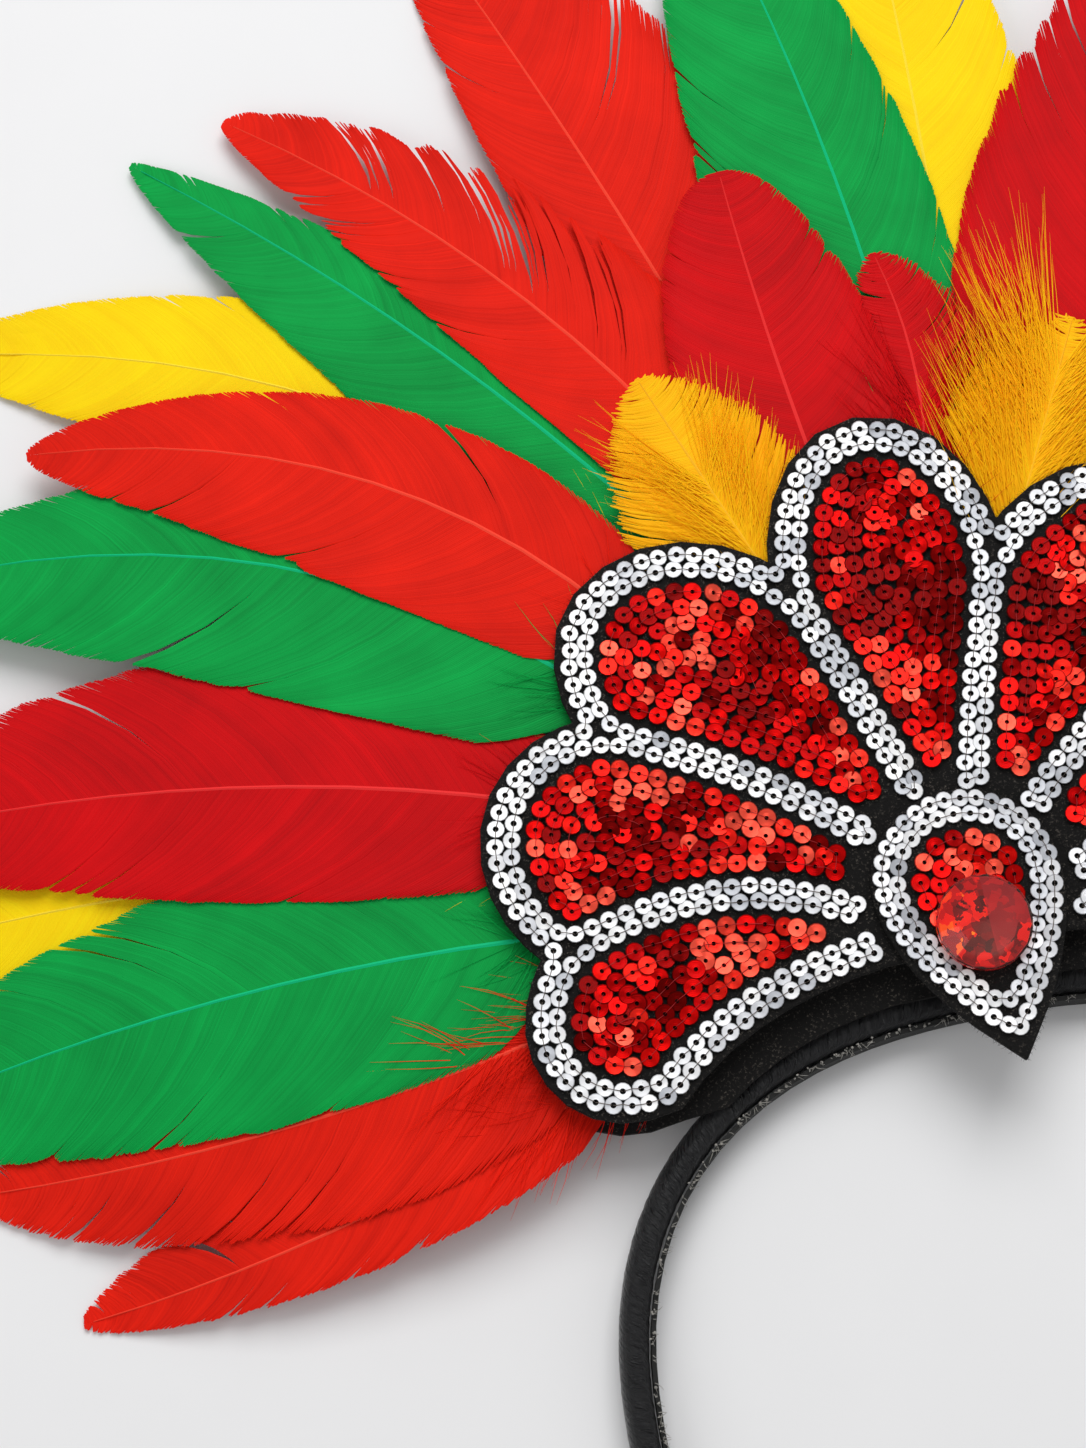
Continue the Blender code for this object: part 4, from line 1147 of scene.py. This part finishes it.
@dataclass
class Band:
    """Headband: a springy horseshoe wound with satin ribbon, with glue along one edge."""

    half_width: float = 0.0685
    crown: float = 0.062
    fullness: float = 2.45
    leg_drop: float = 0.058
    leg_close: float = 0.014
    thick: float = 0.005
    width: float = 0.008
    steps: int = 900
    around: int = 22
    wrap: float = 6.5 * MM
    crease: float = 0.035

    def line(self) -> np.ndarray:
        """Inner line of the band in even steps, from the right leg's end to the left's."""
        share = np.linspace(1.0, 0.0, 120)
        leg = np.stack([self.half_width - self.leg_close * share ** 2,
                        -self.leg_drop * share], axis=1)
        turn = np.linspace(0.0, math.pi, 400)
        size = ((np.abs(np.cos(turn)) / self.half_width) ** self.fullness
                + (np.abs(np.sin(turn)) / self.crown) ** self.fullness) ** (-1 / self.fullness)
        crown = np.stack([np.cos(turn) * size, np.sin(turn) * size], axis=1)
        whole = np.concatenate([leg[:-1], crown, (leg * (-1.0, 1.0))[::-1][1:]])
        whole[:, 1] -= self.crown + self.thick / 2
        along = np.concatenate([[0], np.cumsum(np.linalg.norm(np.diff(whole, axis=0), axis=1))])
        marks = np.linspace(0.0, along[-1], self.steps)
        return np.stack([np.interp(marks, along, whole[:, k]) for k in (0, 1)], axis=1)

    def section(self) -> np.ndarray:
        """Section of the band, as distance out from the inner line and height."""
        turn = np.linspace(0.0, math.tau, self.around, endpoint=False)
        full = np.where(np.cos(turn) < 0, 0.35, 0.72)
        out = self.thick / 2 * (1.0 + np.sign(np.cos(turn)) * np.abs(np.cos(turn)) ** full)
        high = self.width / 2 * (1.0 + np.sign(np.sin(turn)) * np.abs(np.sin(turn)) ** 0.62)
        return np.stack([out, high], axis=1)

    def ribbon(self) -> bpy.types.Object:
        """The wound ribbon, swept along the band with a small step at each turn."""
        line = self.line()
        ways = np.gradient(line, axis=0)
        ways /= np.linalg.norm(ways, axis=1, keepdims=True)
        out = np.stack([ways[:, 1], -ways[:, 0]], axis=1)
        section = self.section()
        centre = np.array([self.thick / 2, self.width / 2])
        step = np.linalg.norm(line[1] - line[0])
        bm = bmesh.new()
        spin = np.arange(self.around) / self.around
        ring = [bm.verts.new((0.0, 0.0, 0.0)) for _ in spin]
        edges = [bm.edges.new((ring[i - 1], ring[i])) for i in range(self.around)]
        rows = []
        for index in range(self.steps):
            if index:
                made = bmesh.ops.extrude_edge_only(bm, edges=edges)["geom"]
                edges = [part for part in made if isinstance(part, bmesh.types.BMEdge)
                         and all(v not in ring_set for v in part.verts)]
                ring = self._ordered(edges, ring)
            ring_set = set(ring)
            rows.append(ring)
            along = index * step
            turn = (along / self.wrap + spin * 0.9) % 1.0
            swell = 1.0 - 0.030 * turn ** 6
            crease = np.array([noise.noise(Vector((along * 1000.0 + s * 7.0, s * 2.0, 3.0)))
                               for s in spin]) * self.crease
            ends = min(1.0, min(index, self.steps - 1 - index) / 3.0) ** 0.5
            spots = centre + (section - centre) * (swell + crease)[:, None] * (
                0.80 + 0.20 * ends)
            for vert, (reach, high) in zip(ring, spots):
                vert.co = (line[index, 0] + out[index, 0] * reach,
                           line[index, 1] + out[index, 1] * reach, max(0.0, high))
        for ring in (rows[0], rows[-1]):
            bm.faces.new(ring)
        bmesh.ops.recalc_face_normals(bm, faces=bm.faces[:])
        layer = bm.loops.layers.uv.new("UVMap")
        where = {v: (i * step, j / self.around) for i, row in enumerate(rows)
                 for j, v in enumerate(row)}
        for face in bm.faces:
            for loop in face.loops:
                loop[layer].uv = where[loop.vert]
        return object_from(bm, "satin_ribbon", SatinFinish().make(), 60.0)

    def _ordered(self, edges: list[bmesh.types.BMEdge], before: list[bmesh.types.BMVert]
                 ) -> list[bmesh.types.BMVert]:
        """New ring's corners in the order of the ring that they were extruded from."""
        fresh = {v for e in edges for v in e.verts}
        return [next(e.other_vert(v) for e in v.link_edges if e.other_vert(v) in fresh)
                for v in before]

    def glue(self) -> None:
        """Dried glue and torn fluff along the band's inner upper edge."""
        chance = np.random.default_rng(7)
        line = self.line()[8:-8]
        ways = np.gradient(line, axis=0)
        ways /= np.linalg.norm(ways, axis=1, keepdims=True)
        into = -np.stack([ways[:, 1], -ways[:, 0]], axis=1)
        number = 520
        pick = chance.integers(0, len(line), number)
        out = into[pick] + ways[pick] * chance.normal(0.0, 0.9, number)[:, None]
        out /= np.linalg.norm(out, axis=1, keepdims=True)
        reach = chance.uniform(0.3, 1.5, number)[:, None] * MM
        t = np.array([0.0, 0.35, 0.7, 1.0])[None, :, None]
        foot = line[pick] + into[pick] * 0.5 * MM
        curl = ways[pick] * chance.normal(0.0, 0.5, number)[:, None] * reach
        plan = foot[:, None] + out[:, None] * (reach * 1.0)[:, None] * t + curl[:, None] * t ** 2
        start = self.width - chance.uniform(0.4, 1.9, number)[:, None] * MM
        rise = start + chance.normal(0.0, 0.4 * MM, (number, 1)) * t[..., 0]
        paths = np.concatenate([plan, rise[..., None]], axis=2)
        widths = np.array([0.09, 0.08, 0.06, 0.02])[None] * MM * np.ones((number, 1))
        bundle = Bundle()
        Strands(4).lay(bundle, paths, widths, 0.06 * MM, chance.normal(0, 1, number),
                       np.arange(number) * 0.01, {})
        bm = bmesh.new()
        bmesh.ops.create_icosphere(bm, subdivisions=1, radius=1.0)
        points, faces = shape_arrays(bm)
        spots = line[pick[:300]] + into[pick[:300]] * chance.uniform(0.1, 0.9, (300, 1)) * MM
        levels = self.width - chance.uniform(0.2, 2.0, (300, 1)) * MM
        sizes = chance.uniform(0.10, 0.34, (300, 1, 3)) * MM
        beads = points[None] * sizes + np.concatenate([spots, levels], axis=1)[:, None]
        bundle.add(beads, faces, np.broadcast_to(points[None, :, :2], beads[..., :2].shape), {})
        pale = PlainFinish("pale_glue_fluff", srgb(120, 118, 112), srgb(214, 210, 202), 900.0,
                           0.4, clear=0.3)
        finish_piece(bundle.build("glue_fluff", pale.make(), smooth=True), "black_satin")

    def build(self) -> None:
        """Build the band's ribbon and glue, and finish its lining."""
        finish_piece(self.ribbon(), "black_satin", "headband")
        self.glue()
        lining = PlainFinish("black_woven_lining", (0.004, 0.004, 0.004), (0.020, 0.020, 0.019),
                             2400.0, 0.85, 0.0002)
        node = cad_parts["headband_lining"]
        node.material_slots[0].material = lining.make()
        LOG.info("headband_lining keeps its node")


@dataclass
class Stone:
    """Round clear stone of the teardrop over a faceted foil."""

    radius: float = 8.0 * MM
    girdle: float = 1.1 * MM
    crown: float = 2.1 * MM
    table: float = 4.6 * MM
    sides: int = 64
    facets: int = 14
    foil_radius: float = 7.6 * MM
    ring: float = 2.6 * MM
    dip: float = 0.20 * MM
    ridge: float = 0.8 * MM

    def body(self, middle: Vector) -> bpy.types.Object:
        """Clear body with an upright girdle, a slanting crown and a flat top."""
        bm = bmesh.new()
        bmesh.ops.create_cone(bm, cap_ends=True, segments=self.sides, radius1=self.radius,
                              radius2=self.radius, depth=self.girdle)
        top = [f for f in bm.faces if f.normal.z > 0.9]
        bmesh.ops.inset_individual(bm, faces=top, thickness=self.radius - self.table,
                                   depth=self.crown)
        bmesh.ops.translate(bm, verts=bm.verts[:], vec=middle + Vector((0, 0, self.girdle / 2)))
        return object_from(bm, "stone_body", StoneFinish().clear(), 20.0)

    def foil(self, middle: Vector) -> bpy.types.Object:
        """Hollowed foil of flat facets: a paler half to the right of a ridge, veiled by a painted
        reflection, and a red half with painted glints.
        """
        chance = random.Random(11)
        bm = bmesh.new()
        bmesh.ops.create_cone(bm, cap_ends=True, segments=self.facets, radius1=self.foil_radius,
                              radius2=self.foil_radius, depth=self.girdle - 0.3 * MM)
        top = [f for f in bm.faces if f.normal.z > 0.9]
        for _ in range(2):
            bmesh.ops.inset_individual(bm, faces=top, thickness=self.ring, depth=-self.dip)
        bmesh.ops.poke(bm, faces=top, offset=-self.dip)
        whole = bm.verts[:] + bm.edges[:] + bm.faces[:]
        bmesh.ops.bisect_plane(bm, geom=whole, plane_co=(self.ridge, 0.0, 0.0),
                               plane_no=(1.0, 0.0, 0.0))
        bmesh.ops.translate(bm, verts=bm.verts[:], vec=middle + Vector((0, 0, self.girdle / 2)))
        glint = bm.faces.layers.float.new("glint")
        veil = bm.faces.layers.float.new("veil")
        for face in bm.faces:
            spot = face.calc_center_median() - middle
            rim = math.hypot(spot.x, spot.y) > 0.76 * self.radius
            # painted glint of each facet, brighter orange at the far left
            face[glint] = chance.uniform(0.28, 0.40)
            if spot.x < -2.5 * MM and spot.y > -3.0 * MM:
                face[glint] = chance.uniform(0.48, 0.62)
            # painted reflection on the facets right of the ridge, except along the lower rim
            face[veil] = float(spot.x > self.ridge and not (rim and spot.y < 0.0))
        item = object_from(bm, "stone_foil", StoneFinish().backing(), 1.0)
        return item

    def build(self) -> None:
        """Build the stone in place of its node."""
        low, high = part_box("gem")
        middle = Vector(((low[0] + high[0]) / 2, (low[1] + high[1]) / 2, low[2]))
        finish_piece(self.body(middle), "red_stone", "gem")
        finish_piece(self.foil(middle), "red_stone")


@dataclass
class Sewing:
    """Every field and border of sequins."""

    # Stops of the sequins' painted highlight: the white and coral ends are painted as catching the
    # light, and the darker ends are the dye in shade.
    silver_stops: tuple[tuple[float, Colour], ...] = (
        (0.0, srgb(186, 189, 196)), (0.30, srgb(232, 233, 237)), (1.0, srgb(255, 255, 255)))
    red_stops: tuple[tuple[float, Colour], ...] = (
        (0.0, srgb(100, 0, 0)), (0.46, srgb(160, 0, 2)), (0.70, srgb(212, 8, 6)),
        (0.86, srgb(240, 40, 28)), (1.0, srgb(250, 86, 66)))

    def build(self) -> None:
        """Sew on the silver borders and the red fields."""
        silver = SequinFinish("silver_sequins", self.silver_stops, 0.15, 0.24,
                              srgb(118, 120, 126), 0.3, 0.6, 0.5).make()
        red = SequinFinish("red_sequins", self.red_stops, 0.70, 0.24, srgb(74, 0, 0)).make()
        grey = PlainFinish("grey_sewing_thread", srgb(70, 60, 54), srgb(128, 116, 106),
                           3000.0).make()
        crimson = PlainFinish("red_sewing_thread", srgb(120, 0, 6), srgb(214, 34, 38),
                              3000.0).make()
        for seed, node in enumerate(("fan_silver_trim", "plaque_silver_trim")):
            SequinRows(node.replace("trim", "sequins"), (node,), "silver_sequin", 1.52 * MM,
                       (3.05, 2.75)[seed] * MM, 2.6 * MM, 1.5 * MM, 1, (0.07, 0.16)[seed],
                       silver, grey, 0.07 * MM, seed, hole=0.34, keep_gap=0.60).build()
        fields = [f"lobe_sequins_{number}" for number in range(1, 8)] + ["plaque_sequins"]
        for seed, node in enumerate(fields, 10):
            SequinRows("sewn_" + node, (node,), "red_sequin", 1.70 * MM, 3.25 * MM, 2.80 * MM,
                       0.90 * MM, 7, 0.11, red, crimson, 0.06 * MM, seed, hole=0.22,
                       jitter=0.07, keep_gap=0.66, sway=0.09).build()


@dataclass(frozen=True)
class PhotoView:
    """Where the photograph was taken from."""

    width: int = 1086
    height: int = 1448
    focal: float = 3253.6
    centre: tuple[float, float] = (966.0, 880.0)
    depth: float = 0.54165
    elevation: float = 75.0
    turn: float = 11.5
    sensor: float = 24.0

    def camera(self, target: Vector) -> bpy.types.Object:
        """Camera that sees the target at its place in the photograph."""
        up_angle, turn = math.radians(self.elevation), math.radians(self.turn)
        right = Vector((math.cos(turn), -math.sin(turn), 0.0))
        look = Vector((math.sin(turn) * math.cos(up_angle), math.cos(turn) * math.cos(up_angle),
                       -math.sin(up_angle)))
        up = right.cross(look)
        across = (self.centre[0] - self.width / 2) / self.focal * self.depth
        above = (self.height / 2 - self.centre[1]) / self.focal * self.depth
        data = bpy.data.cameras.new("photo_camera")
        data.sensor_fit = "VERTICAL"
        data.sensor_height = self.sensor
        data.lens = self.focal / self.height * self.sensor
        data.clip_start = 0.01
        camera = bpy.data.objects.new("photo_camera", data)
        place = target - look * self.depth - right * across - up * above
        axes = Matrix((right, up, -look)).transposed().to_4x4()
        camera.matrix_world = Matrix.Translation(place) @ axes
        bpy.context.scene.collection.objects.link(camera)
        bpy.context.scene.camera = camera
        return camera


@dataclass
class Studio:
    """Pale table and soft light from above the fan's top."""

    table_size: float = 6.0
    key_power: float = 11.5
    fill_power: float = 2.6
    sky: float = 0.40

    def light(self, name: str, place: Vector, aim: Vector, size: float, power: float) -> None:
        """Square soft light."""
        data = bpy.data.lights.new(name, "AREA")
        data.size = size
        data.energy = power
        item = bpy.data.objects.new(name, data)
        item.matrix_world = Matrix.Translation(place) @ (
            (place - aim).to_track_quat("Z", "Y").to_matrix().to_4x4())
        bpy.context.scene.collection.objects.link(item)

    def build(self, target: Vector) -> None:
        """Set up the table, the lights and the sky."""
        bm = bmesh.new()
        bmesh.ops.create_grid(bm, x_segments=4, y_segments=4, size=self.table_size / 2)
        bmesh.ops.translate(bm, verts=bm.verts[:], vec=(0.0, 0.0, -0.0004))
        pale = PlainFinish("pale_table", srgb(236, 236, 237), srgb(240, 240, 241), 40.0, 0.7,
                           0.00005)
        table = object_from(bm, "table", pale.make())
        self.light("key", target + Vector((0.15, 0.75, 1.05)), target, 0.9, self.key_power)
        self.light("fill", target + Vector((-0.95, -0.25, 0.9)), target, 0.9, self.fill_power)
        world = bpy.data.worlds.new("studio_air")
        world.use_nodes = True
        back = world.node_tree.nodes["Background"]
        back.inputs["Color"].default_value = (1.0, 1.0, 1.0, 1.0)
        back.inputs["Strength"].default_value = self.sky
        bpy.context.scene.world = world
        bpy.context.scene.view_settings.view_transform = "Standard"


def main() -> None:
    """Dress the headdress and set up the view."""
    logging.basicConfig(level=logging.INFO, format="%(message)s")
    target = Vector((0.0, Plume.centre_y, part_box("fan_silver_trim")[0][2] + 0.5 * MM))
    PhotoView().camera(target)
    Studio().build(target)
    Band().build()
    FeltWork().build()
    Plume().build()
    Sewing().build()
    Stone().build()


if __name__ == "__main__":
    main()
